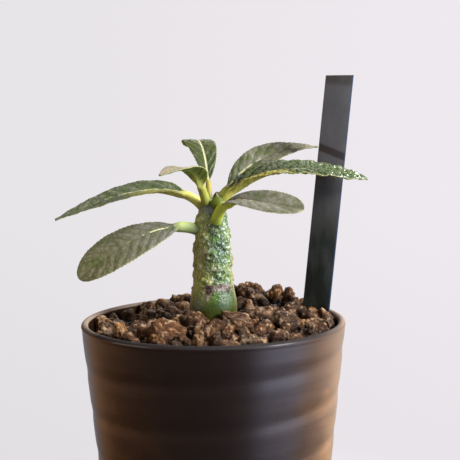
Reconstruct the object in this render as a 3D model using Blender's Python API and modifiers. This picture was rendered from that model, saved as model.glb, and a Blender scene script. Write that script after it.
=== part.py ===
"""A small potted dorstenia: a glazed pot with its drain net and soil, a swollen stem, seven
quilted leaves with a bud between them, and a bare plant tag.

Metres, +Z up. The origin is on the pot's axis, at the surface that the foot stands on. Heights of
the plant, the soil and the tag are measured from the plane of the pot's rim, which is at POT_HEIGHT.
"""
import math
import random
from collections import namedtuple

import bmesh
import bpy
from mathutils import Matrix, Vector, noise

# Pot
POT_HEIGHT = 0.086
RIM_RADIUS = 0.045
WALL_TAPER = 0.1005
WALL = 0.0024
LIP_RADIUS = 0.0012
LIP_STEPS = 4
FLOOR = 0.004
FLOOR_CORNER = 0.002
FOOT_HEIGHT = 0.003
FOOT_WIDTH = 0.004
DRAIN_RADIUS = 0.007
FOOT_BEVEL = 0.0006
NOTCH_SIZE = (0.012, 0.006, 0.0044)
NOTCH_COUNT = 3
POT_STEPS = 40
POT_ROWS = 21
RIDGE_PITCH = 0.0143
RIDGE_START = -0.0092
RIDGE_DEPTH = 0.00028
RIDGE_FADE_TOP = 0.006
RIDGE_FADE_FOOT = 0.008

# Mesh repair
WELD = 0.00001
SLIVER = 0.000002

# Drain net
NET_RADIUS = 0.012
NET_THICKNESS = 0.0008
NET_PITCH = 0.004
NET_HOLE = 0.0028
NET_BORDER = 0.0008

# Soil
CLEARANCE = 0.0003
SOIL_LEVEL = -0.0034
HEAP_CENTRE = (0.014, 0.026)
HEAP_HEIGHT = 0.0062
HEAP_SPREAD = 0.017
SOIL_RINGS = (0.0, 0.36, 0.68, 0.94, 1.0)
GRAIN_RADIUS = 0.0046
GRAIN_SPACING = 0.0085
GRAIN_JITTER = 0.0009
GRAIN_LIFT = (-0.0002, 0.0014)
GRAIN_STRETCH = (0.78, 1.18)
GRAIN_KNOCKS = (0.84, 1.12)
GRAIN_SEED = 11
HOLE_TOP = 0.016

# Stem: height above the rim plane and radius, from the crown down to the root's end
STEM_PROFILE = (
    (0.0412, 0.0024), (0.0402, 0.0034), (0.0386, 0.0042), (0.0370, 0.0050), (0.0353, 0.0056),
    (0.0330, 0.0058), (0.0308, 0.0060), (0.0286, 0.0063), (0.0264, 0.0066), (0.0242, 0.0069),
    (0.0220, 0.0071), (0.0198, 0.0071), (0.0176, 0.0070), (0.0154, 0.0071), (0.0132, 0.0073),
    (0.0110, 0.0075), (0.0088, 0.0077), (0.0066, 0.0080), (0.0044, 0.0082), (0.0020, 0.0082),
    (-0.0010, 0.0081), (-0.0060, 0.0078), (-0.0140, 0.0066), (-0.0240, 0.0047), (-0.0340, 0.0028),
    (-0.0390, 0.0012),
)
STEM_STEPS = 28
ROOT_NECK = 0.0083
SCAR_COUNT = 26
SCAR_TURN = math.radians(137.5)
SCAR_RADIUS = 0.0019
SCAR_HEIGHT = 0.0009
SCAR_LOW = 0.004
SCAR_HIGH = 0.0345
WART_HEIGHT = 0.00035
WART_SIZE = 0.0021
RELIEF_BASE = 0.0003
CROWN = 0.041

# Leaves
BLADE_THICKNESS = 0.0007
STALK_FLARE = 0.0004
STALK_FLARE_LENGTH = 0.0025
KEEL = 0.0010
QUILT_HEIGHT = 0.0006
ROWS_PER_QUILT = 4
PETIOLE_ROWS = 5
NOTCH_DEPTH = 0.05
EDGE_RIPPLE = 0.0004
VEIN_SWEEP = 0.9
TIP_HALF_WIDTH = 0.0005
BLADE_COLUMNS = (-1.0, -0.5, 0.0, 0.5, 1.0)
SOCKET_LENGTH = 0.010

# One leaf: its midrib is a Bezier curve through four points measured from the rim's centre, from
# the stem to the tip. Roll and fold are in degrees, by the stem and at the tip, and quilts counts the
# raised pads on each side.
Leaf = namedtuple("Leaf", "name midrib petiole stalk half_width fill taper roll fold quilts")
LEAVES = (
    Leaf("leaf_left_upper",
         ((-0.0032, 0.0006, 0.0384), (-0.0116, 0.0000, 0.0474),
          (-0.0272, -0.0020, 0.0461), (-0.0526, -0.0040, 0.0348)),
         0.007, 0.0015, 0.0052, 0.55, 1.06, (-19, -33), (22, 2), 10),
    Leaf("leaf_left_lower",
         ((-0.0046, -0.0016, 0.0306), (-0.0144, -0.0060, 0.0344),
          (-0.0273, -0.0140, 0.0305), (-0.0433, -0.0160, 0.0165)),
         0.008, 0.0018, 0.0077, 0.68, 0.50, (-37, -35), (-12, 5), 9),
    Leaf("leaf_front_small",
         ((-0.0018, -0.0030, 0.0395), (-0.0053, -0.0060, 0.0510),
          (-0.0055, -0.0180, 0.0536), (-0.0158, -0.0300, 0.0499)),
         0.007, 0.0014, 0.0050, 0.62, 0.8, (5, -4), (10, 10), 7),
    Leaf("leaf_top_back",
         ((-0.0010, 0.0028, 0.0408), (-0.0011, 0.0050, 0.0532),
          (-0.0038, 0.0140, 0.0664), (-0.0072, 0.0270, 0.0590)),
         0.006, 0.0013, 0.0056, 0.80, 0.42, (2, 0), (12, -4), 7),
    Leaf("leaf_right_back",
         ((0.0024, 0.0030, 0.0404), (0.0106, 0.0085, 0.0519),
          (0.0195, 0.0140, 0.0582), (0.0384, 0.0185, 0.0584)),
         0.005, 0.0013, 0.0058, 1.00, 1.25, (44, 23), (9, 14), 9),
    Leaf("leaf_right_main",
         ((0.0034, -0.0008, 0.0398), (0.0118, -0.0012, 0.0518),
          (0.0345, -0.0010, 0.0537), (0.0531, 0.0000, 0.0472)),
         0.005, 0.0013, 0.0070, 0.48, 0.71, (9, 25), (27, -11), 10),
    Leaf("leaf_right_front",
         ((0.0010, -0.0046, 0.0332), (0.0046, -0.0095, 0.0450),
          (0.0090, -0.0180, 0.0410), (0.0285, -0.0260, 0.0386)),
         0.008, 0.0017, 0.0063, 0.88, 0.53, (23, 27), (15, 9), 7),
)

# Bud
BUD_BASE = (0.0012, -0.0004, 0.0398)
BUD_LEAN = (0.10, -0.10)
BUD_LENGTH = 0.0036
BUD_RADIUS = 0.0011
BUD_SCALES = 3
BUD_SCALE_DEPTH = 0.12
BUD_ROWS = 8
BUD_STEPS = 12

# Plant tag
TAG_WIDTH = 0.0095
TAG_THICKNESS = 0.0010
TAG_TOP = 0.0836
TAG_DEPTH = 0.037
TAG_POINT = 0.008
TAG_TOP_SLANT = 0.001
TAG_LEAN = math.radians(5.9)
TAG_AT_RIM = (0.0359, 0.0060)

COLOURS = {
    "glaze": ((0.035, 0.024, 0.018, 1.0), 0.35, 0.5),
    "net": ((0.02, 0.02, 0.02, 1.0), 0.55, 0.0),
    "clay grains": ((0.19, 0.08, 0.03, 1.0), 0.95, 0.0),
    "stem": ((0.09, 0.14, 0.05, 1.0), 0.60, 0.0),
    "leaf": ((0.14, 0.20, 0.08, 1.0), 0.50, 0.0),
    "bud": ((0.20, 0.24, 0.08, 1.0), 0.55, 0.0),
    "tag": ((0.02, 0.02, 0.022, 1.0), 0.20, 0.0),
}


def clear_scene():
    for obj in list(bpy.data.objects):
        bpy.data.objects.remove(obj, do_unlink=True)


def new_collection(name):
    collection = bpy.data.collections.new(name)
    bpy.context.scene.collection.children.link(collection)
    return collection


def make_material(name):
    colour, roughness, metallic = COLOURS[name]
    material = bpy.data.materials.new(name)
    material.use_nodes = True
    shader = material.node_tree.nodes["Principled BSDF"]
    shader.inputs["Base Color"].default_value = colour
    shader.inputs["Roughness"].default_value = roughness
    shader.inputs["Metallic"].default_value = metallic
    return material


def object_from_bmesh(name, mesh_data, collection):
    """Writes the bmesh to a mesh of this name, with its faces pointing outwards, and links it."""
    bmesh.ops.recalc_face_normals(mesh_data, faces=mesh_data.faces)
    mesh = bpy.data.meshes.new(name)
    mesh_data.to_mesh(mesh)
    mesh_data.free()
    obj = bpy.data.objects.new(name, mesh)
    collection.objects.link(obj)
    return obj


def finish(obj, material_name, sharp_angle=40):
    obj.data.materials.clear()
    obj.data.materials.append(make_material(material_name))
    obj.data.shade_smooth()
    obj.data.set_sharp_from_angle(angle=math.radians(sharp_angle))


def evaluated_copy(obj, name, collection):
    """Makes a plain mesh object from what the viewport shows, and removes the original."""
    graph = bpy.context.evaluated_depsgraph_get()
    mesh = bpy.data.meshes.new_from_object(obj.evaluated_get(graph))
    mesh.name = name
    copy = bpy.data.objects.new(name, mesh)
    copy.matrix_world = obj.matrix_world.copy()
    bpy.data.objects.remove(obj, do_unlink=True)
    copy.name = name
    collection.objects.link(copy)
    return copy


def weld(obj):
    work = bmesh.new()
    work.from_mesh(obj.data)
    bmesh.ops.remove_doubles(work, verts=work.verts, dist=WELD)
    bmesh.ops.recalc_face_normals(work, faces=work.faces)
    work.to_mesh(obj.data)
    work.free()


def turned(name, profile, steps, collection, closed=False):
    """Turns a profile of (radius, height) pairs about +Z with Screw, as a plain mesh."""
    mesh = bpy.data.meshes.new(name)
    points = [(radius, 0.0, height) for radius, height in profile]
    edges = [(i, i + 1) for i in range(len(points) - 1)]
    if closed:
        edges.append((len(points) - 1, 0))
    mesh.from_pydata(points, edges, [])
    obj = bpy.data.objects.new(name + "_profile", mesh)
    collection.objects.link(obj)
    screw = obj.modifiers.new("turn", "SCREW")
    screw.axis = "Z"
    screw.steps = steps
    screw.render_steps = steps
    screw.use_merge_vertices = True
    screw.merge_threshold = WELD
    screw.use_normal_calculate = True
    copy = evaluated_copy(obj, name, collection)
    weld(copy)
    return copy


def mark_cutter(obj):
    obj.hide_render = True
    obj.display_type = "WIRE"


def apply_boolean(obj, operation, cutter=None, collection=None):
    """Applies one Boolean with an object or a whole collection, then removes what it used."""
    modifier = obj.modifiers.new("shape", "BOOLEAN")
    modifier.operation = operation
    if collection:
        modifier.operand_type = "COLLECTION"
        modifier.collection = collection
        used = list(collection.objects)
    else:
        modifier.object = cutter
        used = [cutter]
    graph = bpy.context.evaluated_depsgraph_get()
    mesh = bpy.data.meshes.new_from_object(obj.evaluated_get(graph))
    obj.modifiers.remove(modifier)
    obj.data = mesh
    for item in used:
        bpy.data.objects.remove(item, do_unlink=True)
    if collection:
        bpy.data.collections.remove(collection)


def keep_main_body(obj):
    """Drops the loose scraps that a union or a cut can leave."""
    work = bmesh.new()
    work.from_mesh(obj.data)
    unseen = set(work.verts)
    bodies = []
    while unseen:
        stack = [unseen.pop()]
        body = set(stack)
        while stack:
            for edge in stack.pop().link_edges:
                for vert in edge.verts:
                    if vert in unseen:
                        unseen.remove(vert)
                        body.add(vert)
                        stack.append(vert)
        bodies.append(body)
    main = max(bodies, key=len)
    scraps = [vert for body in bodies if body is not main for vert in body]
    bmesh.ops.delete(work, geom=scraps, context="VERTS")
    work.to_mesh(obj.data)
    work.free()


def tidy_faces(obj):
    """Merges the slivers that a Boolean leaves and splits what is left into triangles."""
    work = bmesh.new()
    work.from_mesh(obj.data)
    bmesh.ops.remove_doubles(work, verts=work.verts, dist=SLIVER)
    bmesh.ops.dissolve_degenerate(work, edges=work.edges, dist=SLIVER)
    bmesh.ops.triangulate(work, faces=work.faces)
    work.to_mesh(obj.data)
    work.free()


def outer_radius(height):
    """The pot's outer radius at a height above its foot, without the throwing ridge."""
    return RIM_RADIUS + WALL_TAPER * (height - POT_HEIGHT)


def inner_radius(height):
    return outer_radius(height) - WALL


def ridge(angle, height):
    """The shallow ridge that the potter's fingers leave as they wind down the wall."""
    below_rim = POT_HEIGHT - height
    turns = (-below_rim - RIDGE_START) / RIDGE_PITCH - angle / math.tau
    fade = min(1.0, max(0.0, below_rim / RIDGE_FADE_TOP)) * min(1.0, height / RIDGE_FADE_FOOT)
    return -RIDGE_DEPTH * math.cos(math.tau * turns) * fade


def pot_profile():
    """The pot's section as a closed loop: over the lip, down the wall, the foot and up inside."""
    lip_middle = RIM_RADIUS - LIP_RADIUS
    lip_base = POT_HEIGHT - LIP_RADIUS
    foot_radius = outer_radius(0.0)
    foot_inside = foot_radius - FOOT_WIDTH
    floor_top = FOOT_HEIGHT + FLOOR
    corner_height = floor_top + FLOOR_CORNER
    profile = []
    for step in range(LIP_STEPS + 1):
        turn = math.pi - math.pi * step / LIP_STEPS
        profile.append((lip_middle + LIP_RADIUS * math.cos(turn), lip_base + LIP_RADIUS * math.sin(turn)))
    for row in range(1, POT_ROWS):
        height = lip_base + (FOOT_BEVEL - lip_base) * row / (POT_ROWS - 1)
        profile.append((outer_radius(height), height))
    profile.append((foot_radius - FOOT_BEVEL, 0.0))
    profile.append((foot_inside, 0.0))
    profile.append((foot_inside - FOOT_BEVEL, FOOT_HEIGHT))
    profile.append((DRAIN_RADIUS, FOOT_HEIGHT))
    profile.append((DRAIN_RADIUS, floor_top))
    profile.append((inner_radius(floor_top) - FLOOR_CORNER, floor_top))
    profile.append((inner_radius(corner_height), corner_height))
    profile.append((inner_radius(POT_HEIGHT / 2), POT_HEIGHT / 2))
    return profile


def cut_foot_notch(pot, angle, cutters):
    """A notch through the foot ring, which lets water out from under the pot."""
    reach = outer_radius(0.0) - FOOT_WIDTH / 2
    bpy.ops.mesh.primitive_cube_add(size=1.0)
    cutter = bpy.context.object
    cutter.name = "foot_notch"
    cutter.scale = NOTCH_SIZE
    cutter.rotation_euler.z = angle
    cutter.location = (reach * math.cos(angle), reach * math.sin(angle), 0.0)
    move_to(cutter, cutters)
    mark_cutter(cutter)
    apply_boolean(pot, "DIFFERENCE", cutter)


def build_pot(parts, cutters):
    pot = turned("pot", pot_profile(), POT_STEPS, parts, closed=True)
    for vert in pot.data.vertices:
        radius = math.hypot(vert.co.x, vert.co.y)
        on_wall = radius > outer_radius(vert.co.z) - WALL / 8
        if on_wall and vert.co.z < POT_HEIGHT - LIP_RADIUS:
            angle = math.atan2(vert.co.y, vert.co.x)
            scale = 1.0 + ridge(angle, vert.co.z) / radius
            vert.co.x *= scale
            vert.co.y *= scale
    for notch in range(NOTCH_COUNT):
        cut_foot_notch(pot, math.tau * (notch + 0.25) / NOTCH_COUNT, cutters)
    tidy_faces(pot)
    finish(pot, "glaze")


def move_to(obj, collection):
    for old in list(obj.users_collection):
        old.objects.unlink(obj)
    collection.objects.link(obj)


def build_net(parts, cutters):
    floor_top = FOOT_HEIGHT + FLOOR
    bpy.ops.mesh.primitive_cylinder_add(vertices=32, radius=NET_RADIUS, depth=NET_THICKNESS)
    net = bpy.context.object
    net.name = "drain_net"
    net.location.z = floor_top + CLEARANCE + NET_THICKNESS / 2
    move_to(net, parts)
    holes = bmesh.new()
    reach = int(NET_RADIUS / NET_PITCH)
    for column in range(-reach, reach + 1):
        for row in range(-reach, reach + 1):
            x = column * NET_PITCH
            y = row * NET_PITCH
            if math.hypot(abs(x) + NET_HOLE / 2, abs(y) + NET_HOLE / 2) > NET_RADIUS - NET_BORDER:
                continue
            size = Matrix.Diagonal((NET_HOLE, NET_HOLE, 3 * NET_THICKNESS, 1.0))
            bmesh.ops.create_cube(holes, size=1.0, matrix=Matrix.Translation((x, y, net.location.z)) @ size)
    cutter = object_from_bmesh("net_holes", holes, cutters)
    mark_cutter(cutter)
    apply_boolean(net, "DIFFERENCE", cutter)
    tidy_faces(net)
    finish(net, "net")


def soil_height(x, y):
    """The height of the fill under the grains: nearly level, heaped behind the stem."""
    away = (x - HEAP_CENTRE[0]) ** 2 + (y - HEAP_CENTRE[1]) ** 2
    return POT_HEIGHT + SOIL_LEVEL + HEAP_HEIGHT * math.exp(-away / (2 * HEAP_SPREAD ** 2))


def grain(name, place, draw, collection):
    """One angular grain of baked clay: a squashed, knocked-about ball of 20 faces."""
    work = bmesh.new()
    bmesh.ops.create_icosphere(work, subdivisions=1, radius=1.0)
    stretch = [GRAIN_RADIUS * draw.uniform(*GRAIN_STRETCH) for _ in range(3)]
    for vert in work.verts:
        vert.co *= draw.uniform(*GRAIN_KNOCKS)
    axis = Vector((draw.gauss(0, 1), draw.gauss(0, 1), draw.gauss(0, 1))).normalized()
    turn = Matrix.Rotation(draw.uniform(0, math.tau), 4, axis)
    shape = Matrix.Translation(place) @ turn @ Matrix.Diagonal((*stretch, 1.0))
    bmesh.ops.transform(work, matrix=shape, verts=work.verts)
    for vert in work.verts:
        away = math.hypot(vert.co.x, vert.co.y)
        limit = wall_limit(vert.co.z)
        if away > limit:
            vert.co.x *= limit / away
            vert.co.y *= limit / away
    return object_from_bmesh(name, work, collection)


def wall_limit(height):
    """How far out a grain may reach: it lies flat against the pot's faceted inner wall."""
    apothem = math.cos(math.pi / POT_STEPS)
    return inner_radius(min(height, POT_HEIGHT)) * apothem - CLEARANCE


def grain_places(draw):
    """A jittered triangular lattice over the soil, clear of the wall and of the stem's middle."""
    places = []
    row_step = GRAIN_SPACING * math.sqrt(3) / 2
    rows = int(RIM_RADIUS / row_step) + 1
    for row in range(-rows, rows + 1):
        for column in range(-rows, rows + 1):
            x = (column + 0.5 * (row % 2)) * GRAIN_SPACING + draw.uniform(-GRAIN_JITTER, GRAIN_JITTER)
            y = row * row_step + draw.uniform(-GRAIN_JITTER, GRAIN_JITTER)
            away = math.hypot(x, y)
            if away < ROOT_NECK + GRAIN_JITTER:
                continue
            height = soil_height(x, y) + draw.uniform(*GRAIN_LIFT)
            limit = inner_radius(height) - 0.75 * GRAIN_RADIUS
            if away > limit + 0.5 * GRAIN_SPACING:
                continue
            if away > limit:
                x *= limit / away
                y *= limit / away
            places.append(Vector((x, y, height)))
    return places


def soil_profile():
    """The fill's section: its level top, the wall with a clearance, and the seat over the net."""
    floor_top = FOOT_HEIGHT + FLOOR
    corner_height = floor_top + FLOOR_CORNER
    bottom = floor_top + CLEARANCE
    edge = inner_radius(POT_HEIGHT + SOIL_LEVEL) - CLEARANCE
    net_edge = NET_RADIUS + CLEARANCE
    net_top = bottom + NET_THICKNESS + CLEARANCE
    profile = [(edge * share, POT_HEIGHT + SOIL_LEVEL) for share in SOIL_RINGS]
    profile.append((inner_radius(POT_HEIGHT / 2) - CLEARANCE, POT_HEIGHT / 2))
    profile.append((inner_radius(corner_height) - 1.5 * CLEARANCE, corner_height + CLEARANCE))
    profile.append((inner_radius(floor_top) - FLOOR_CORNER - CLEARANCE, bottom))
    profile.append((net_edge, bottom))
    profile.append((net_edge, net_top))
    profile.append((0.0, net_top))
    return profile


def hole_profile():
    """The plain hole that the stem's foot stands in: its own profile with a clearance."""
    room = 1.3 * CLEARANCE
    profile = [(0.0, POT_HEIGHT + HOLE_TOP)]
    for height, radius in STEM_PROFILE:
        if height < HOLE_TOP:
            profile.append((radius + room, POT_HEIGHT + height))
    profile.append((0.0, POT_HEIGHT + STEM_PROFILE[-1][0] - room))
    return profile


def build_soil(parts, cutters):
    soil = turned("soil", soil_profile(), POT_STEPS, parts)
    for vert in soil.data.vertices:
        if abs(vert.co.z - POT_HEIGHT - SOIL_LEVEL) < WELD:
            vert.co.z = soil_height(vert.co.x, vert.co.y)
    draw = random.Random(GRAIN_SEED)
    grains = new_collection("grains")
    for index, place in enumerate(grain_places(draw)):
        grain("grain_%03d" % index, place, draw, grains)
    apply_boolean(soil, "UNION", collection=grains)
    stem_hole = turned("stem_hole", hole_profile(), STEM_STEPS, cutters)
    mark_cutter(stem_hole)
    apply_boolean(soil, "DIFFERENCE", stem_hole)
    slot = tag_solid("tag_slot", CLEARANCE, cutters)
    mark_cutter(slot)
    apply_boolean(soil, "DIFFERENCE", slot)
    tidy_faces(soil)
    keep_main_body(soil)
    finish(soil, "clay grains", sharp_angle=20)


def scar_relief(angle, height, radius):
    """Leaf scars on a rising spiral: a raised rim round a shallow middle, wider than high."""
    rise = 0.0
    for index in range(SCAR_COUNT):
        share = (index + 0.5) / SCAR_COUNT
        scar_height = SCAR_LOW + (SCAR_HIGH - SCAR_LOW) * share
        scar_angle = index * SCAR_TURN
        across = math.remainder(angle - scar_angle, math.tau) * radius
        away = math.hypot(across * 0.8, (height - scar_height) * 1.2) / SCAR_RADIUS
        rise += SCAR_HEIGHT * math.exp(-((away - 0.7) ** 2) / 0.22)
    return rise


def stem_relief(point):
    height = point.z - POT_HEIGHT
    radius = math.hypot(point.x, point.y)
    angle = math.atan2(point.y, point.x)
    warts = WART_HEIGHT * noise.noise(point / WART_SIZE)
    fade = smooth((height - SCAR_LOW) / 0.004) * smooth((CROWN - height) / 0.002)
    return (scar_relief(angle, height, radius) - RELIEF_BASE + warts) * fade


def petiole_socket(leaf, collection):
    """The hollow that a leaf stalk grows from: the stalk's own path with a clearance round it."""
    samples = 12
    total = curve_length(leaf.midrib)
    curve = bpy.data.curves.new("socket", "CURVE")
    curve.dimensions = "3D"
    curve.bevel_depth = 1.0
    curve.bevel_resolution = 3
    curve.use_fill_caps = True
    spline = curve.splines.new("POLY")
    spline.points.add(samples)
    for index in range(samples + 1):
        share = SOCKET_LENGTH / total * index / samples
        place = bezier_point(leaf.midrib, share) + Vector((0, 0, POT_HEIGHT))
        if index == 0:
            place -= bezier_tangent(leaf.midrib, 0.0) * CLEARANCE
        spline.points[index].co = (*place, 1.0)
        spline.points[index].radius = stalk_radius(leaf, share * total) + 1.3 * CLEARANCE
    obj = bpy.data.objects.new("socket_" + leaf.name, curve)
    collection.objects.link(obj)
    copy = evaluated_copy(obj, "socket_" + leaf.name, collection)
    weld(copy)
    mark_cutter(copy)
    return copy


def build_stem(parts, cutters):
    profile = [(0.0, POT_HEIGHT + STEM_PROFILE[0][0])]
    profile += [(radius, POT_HEIGHT + height) for height, radius in STEM_PROFILE]
    profile.append((0.0, POT_HEIGHT + STEM_PROFILE[-1][0]))
    stem = turned("caudex", profile, STEM_STEPS, parts)
    for vert in stem.data.vertices:
        radius = math.hypot(vert.co.x, vert.co.y)
        if radius > 0.0001:
            scale = 1.0 + stem_relief(vert.co) / radius
            vert.co.x *= scale
            vert.co.y *= scale
    for leaf in LEAVES:
        apply_boolean(stem, "DIFFERENCE", petiole_socket(leaf, cutters))
    seat = bud_solid("bud_seat", CLEARANCE, cutters)
    mark_cutter(seat)
    apply_boolean(stem, "DIFFERENCE", seat)
    tidy_faces(stem)
    keep_main_body(stem)
    finish(stem, "stem")


def bezier_point(points, t):
    a, b, c, d = (Vector(p) for p in points)
    s = 1.0 - t
    return a * s ** 3 + b * (3 * s * s * t) + c * (3 * s * t * t) + d * t ** 3


def bezier_tangent(points, t):
    a, b, c, d = (Vector(p) for p in points)
    s = 1.0 - t
    return ((b - a) * (s * s) + (c - b) * (2 * s * t) + (d - c) * (t * t)).normalized()


def curve_length(points, samples=64):
    places = [bezier_point(points, i / samples) for i in range(samples + 1)]
    return sum((q - p).length for p, q in zip(places, places[1:]))


def smooth(value):
    value = min(1.0, max(0.0, value))
    return value * value * (3.0 - 2.0 * value)


def stalk_radius(leaf, distance):
    """The stalk is a little thicker where it leaves the stem."""
    return leaf.stalk + STALK_FLARE * math.exp(-distance / STALK_FLARE_LENGTH)


def blade_half_width(leaf, along):
    """Widest past the middle and drawn out towards the stalk, by two exponents."""
    if along <= 0.0 or along >= 1.0:
        return 0.0
    widest = leaf.fill / (leaf.fill + leaf.taper)
    peak = widest ** leaf.fill * (1.0 - widest) ** leaf.taper
    return leaf.half_width * along ** leaf.fill * (1.0 - along) ** leaf.taper / peak


def quilt_relief(leaf, along, across):
    """Raised pads between sunken side veins, which run forward from the midrib to the edge."""
    if along <= 0.0:
        return 0.0
    pads = leaf.quilts * along - VEIN_SWEEP * abs(across)
    swell = math.sin(math.pi * pads) ** 2 * math.sin(0.8 * math.pi * abs(across))
    ripple = EDGE_RIPPLE * abs(across) ** 2 * math.sin(math.pi * pads + (1.0 if across > 0 else 2.2))
    fade = smooth(along / 0.12) * smooth((1.0 - along) / 0.1)
    return (QUILT_HEIGHT * swell + ripple) * fade


def leaf_section(leaf, share, distance, total):
    """The ring of points across the leaf at one place: a round stalk that opens into the blade."""
    centre = bezier_point(leaf.midrib, share) + Vector((0, 0, POT_HEIGHT))
    tangent = bezier_tangent(leaf.midrib, share)
    heading = Vector(leaf.midrib[3]) - Vector(leaf.midrib[0])
    side = Vector((-heading.y, heading.x, 0.0)).normalized()
    side = (side - tangent * side.dot(tangent)).normalized()
    normal = tangent.cross(side)
    roll = math.radians(leaf.roll[0] + (leaf.roll[1] - leaf.roll[0]) * distance / total)
    fold = math.radians(leaf.fold[0] + (leaf.fold[1] - leaf.fold[0]) * distance / total)
    along = (distance - leaf.petiole) / (total - leaf.petiole)
    open_out = smooth(along / 0.10 + 0.25)
    row = round(along * leaf.quilts * ROWS_PER_QUILT)
    notch = 1.0 + NOTCH_DEPTH * (1 if row % 2 else -1) * open_out
    width = max(blade_half_width(leaf, along), TIP_HALF_WIDTH)
    stalk = stalk_radius(leaf, distance) * (1.0 - 0.55 * smooth(along))
    upper = []
    lower = []
    for across in BLADE_COLUMNS:
        lean = roll + fold if across > 0 else roll - fold
        outward = side * math.cos(lean) + normal * math.sin(lean)
        lift = normal * math.cos(roll) - side * math.sin(roll)
        reach = width * across * (notch if abs(across) == 1.0 else 1.0)
        relief = quilt_relief(leaf, along, across)
        keel = KEEL * (1.0 - 0.75 * along) if across == 0.0 else 0.0
        blade = centre + outward * reach + lift * relief
        top = blade + lift * (BLADE_THICKNESS / 2)
        bottom = blade - lift * (BLADE_THICKNESS / 2 + keel)
        turn = math.pi * (0.5 - 0.42 * across)
        round_side = (side * math.cos(roll) + normal * math.sin(roll)) * (stalk * math.cos(turn))
        round_top = centre + round_side + lift * (stalk * math.sin(turn))
        round_bottom = centre + round_side - lift * (stalk * math.sin(turn))
        upper.append(round_top.lerp(top, open_out))
        lower.append(round_bottom.lerp(bottom, open_out))
    return upper + lower[::-1]


def leaf_stations(leaf):
    """Places along the midrib: a few on the stalk, then a fixed number for each quilted pad."""
    total = curve_length(leaf.midrib)
    blade = total - leaf.petiole
    stations = [leaf.petiole * i / PETIOLE_ROWS for i in range(PETIOLE_ROWS)]
    rows = leaf.quilts * ROWS_PER_QUILT
    stations += [leaf.petiole + blade * i / rows for i in range(rows + 1)]
    return stations, total


def share_at(leaf, distance, samples=96):
    """The curve's parameter at a distance along it."""
    run = 0.0
    last = bezier_point(leaf.midrib, 0.0)
    for index in range(1, samples + 1):
        place = bezier_point(leaf.midrib, index / samples)
        step = (place - last).length
        if run + step >= distance:
            return (index - 1 + (distance - run) / step) / samples
        run += step
        last = place
    return 1.0


def build_leaf(leaf, parts):
    stations, total = leaf_stations(leaf)
    work = bmesh.new()
    rings = []
    for distance in stations:
        section = leaf_section(leaf, share_at(leaf, distance), distance, total)
        rings.append([work.verts.new(point) for point in section])
    count = len(rings[0])
    half = count // 2
    for first, second in zip(rings, rings[1:]):
        for index in range(count):
            after = (index + 1) % count
            column = index if index < half - 1 else count - 2 - index
            mirrored = index >= half
            slant = (column < (half - 1) / 2) != mirrored
            if slant:
                work.faces.new((first[index], first[after], second[after]))
                work.faces.new((first[index], second[after], second[index]))
            else:
                work.faces.new((first[index], first[after], second[index]))
                work.faces.new((first[after], second[after], second[index]))
    for ring, place in ((rings[0], 0.0), (rings[-1], 1.0)):
        middle = work.verts.new(bezier_point(leaf.midrib, place) + Vector((0, 0, POT_HEIGHT)))
        for index in range(count):
            work.faces.new((ring[index], ring[(index + 1) % count], middle))
    obj = object_from_bmesh(leaf.name, work, parts)
    finish(obj, "leaf")


def bud_profile(room):
    """From the point down to the base: an egg drawn out at the top, with an open seat if given room."""
    profile = [(0.0, BUD_LENGTH + room)]
    for row in range(1, BUD_ROWS):
        share = row / BUD_ROWS
        radius = BUD_RADIUS * math.sin(math.pi * (0.12 + 0.88 * share)) ** 0.7
        profile.append((radius + room, (1.0 - share) * (BUD_LENGTH + room)))
    profile.append((0.6 * BUD_RADIUS + room, 0.0))
    profile.append((0.0, 0.0))
    return profile


def bud_solid(name, room, collection):
    """A small pointed bud of folded scales, or its seat when it is given room."""
    base = Vector(BUD_BASE) + Vector((0, 0, POT_HEIGHT - room))
    depth = 0.0 if room else BUD_SCALE_DEPTH
    bud = turned(name, bud_profile(room), BUD_STEPS, collection)
    for vert in bud.data.vertices:
        scale = 1.0 + depth * math.cos(BUD_SCALES * math.atan2(vert.co.y, vert.co.x))
        vert.co.x = vert.co.x * scale + BUD_LEAN[0] * vert.co.z + base.x
        vert.co.y = vert.co.y * scale + BUD_LEAN[1] * vert.co.z + base.y
        vert.co.z += base.z
    return bud


def build_bud(parts):
    bud = bud_solid("crown_bud", 0.0, parts)
    finish(bud, "bud")


def tag_solid(name, room, collection):
    """The flat tag with its pointed lower end, or the slot that it stands in."""
    half = TAG_WIDTH / 2 + room
    low = -TAG_DEPTH - room
    outline = ((-half, TAG_TOP - TAG_TOP_SLANT), (half, TAG_TOP), (half, low + TAG_POINT),
               (half * 0.25, low), (-half * 0.25, low), (-half, low + TAG_POINT))
    curve = bpy.data.curves.new(name, "CURVE")
    curve.dimensions = "2D"
    curve.fill_mode = "BOTH"
    curve.extrude = TAG_THICKNESS / 2 + room
    spline = curve.splines.new("POLY")
    spline.points.add(len(outline) - 1)
    for point, (x, y) in zip(spline.points, outline):
        point.co = (x, y, 0.0, 1.0)
    spline.use_cyclic_u = True
    flat = bpy.data.objects.new(name + "_outline", curve)
    place = Matrix.Translation((TAG_AT_RIM[0], TAG_AT_RIM[1], POT_HEIGHT))
    flat.matrix_world = place @ Matrix.Rotation(TAG_LEAN, 4, "Y") @ Matrix.Rotation(math.pi / 2, 4, "X")
    collection.objects.link(flat)
    bpy.context.view_layer.update()
    solid = evaluated_copy(flat, name, collection)
    weld(solid)
    return solid


def build_tag(parts):
    tag = tag_solid("label", 0.0, parts)
    finish(tag, "tag")


def main():
    clear_scene()
    parts = new_collection("potted_dorstenia")
    cutters = new_collection("cutters")
    build_pot(parts, cutters)
    build_net(parts, cutters)
    build_soil(parts, cutters)
    build_stem(parts, cutters)
    for leaf in LEAVES:
        build_leaf(leaf, parts)
    build_bud(parts)
    build_tag(parts)


main()
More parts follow.
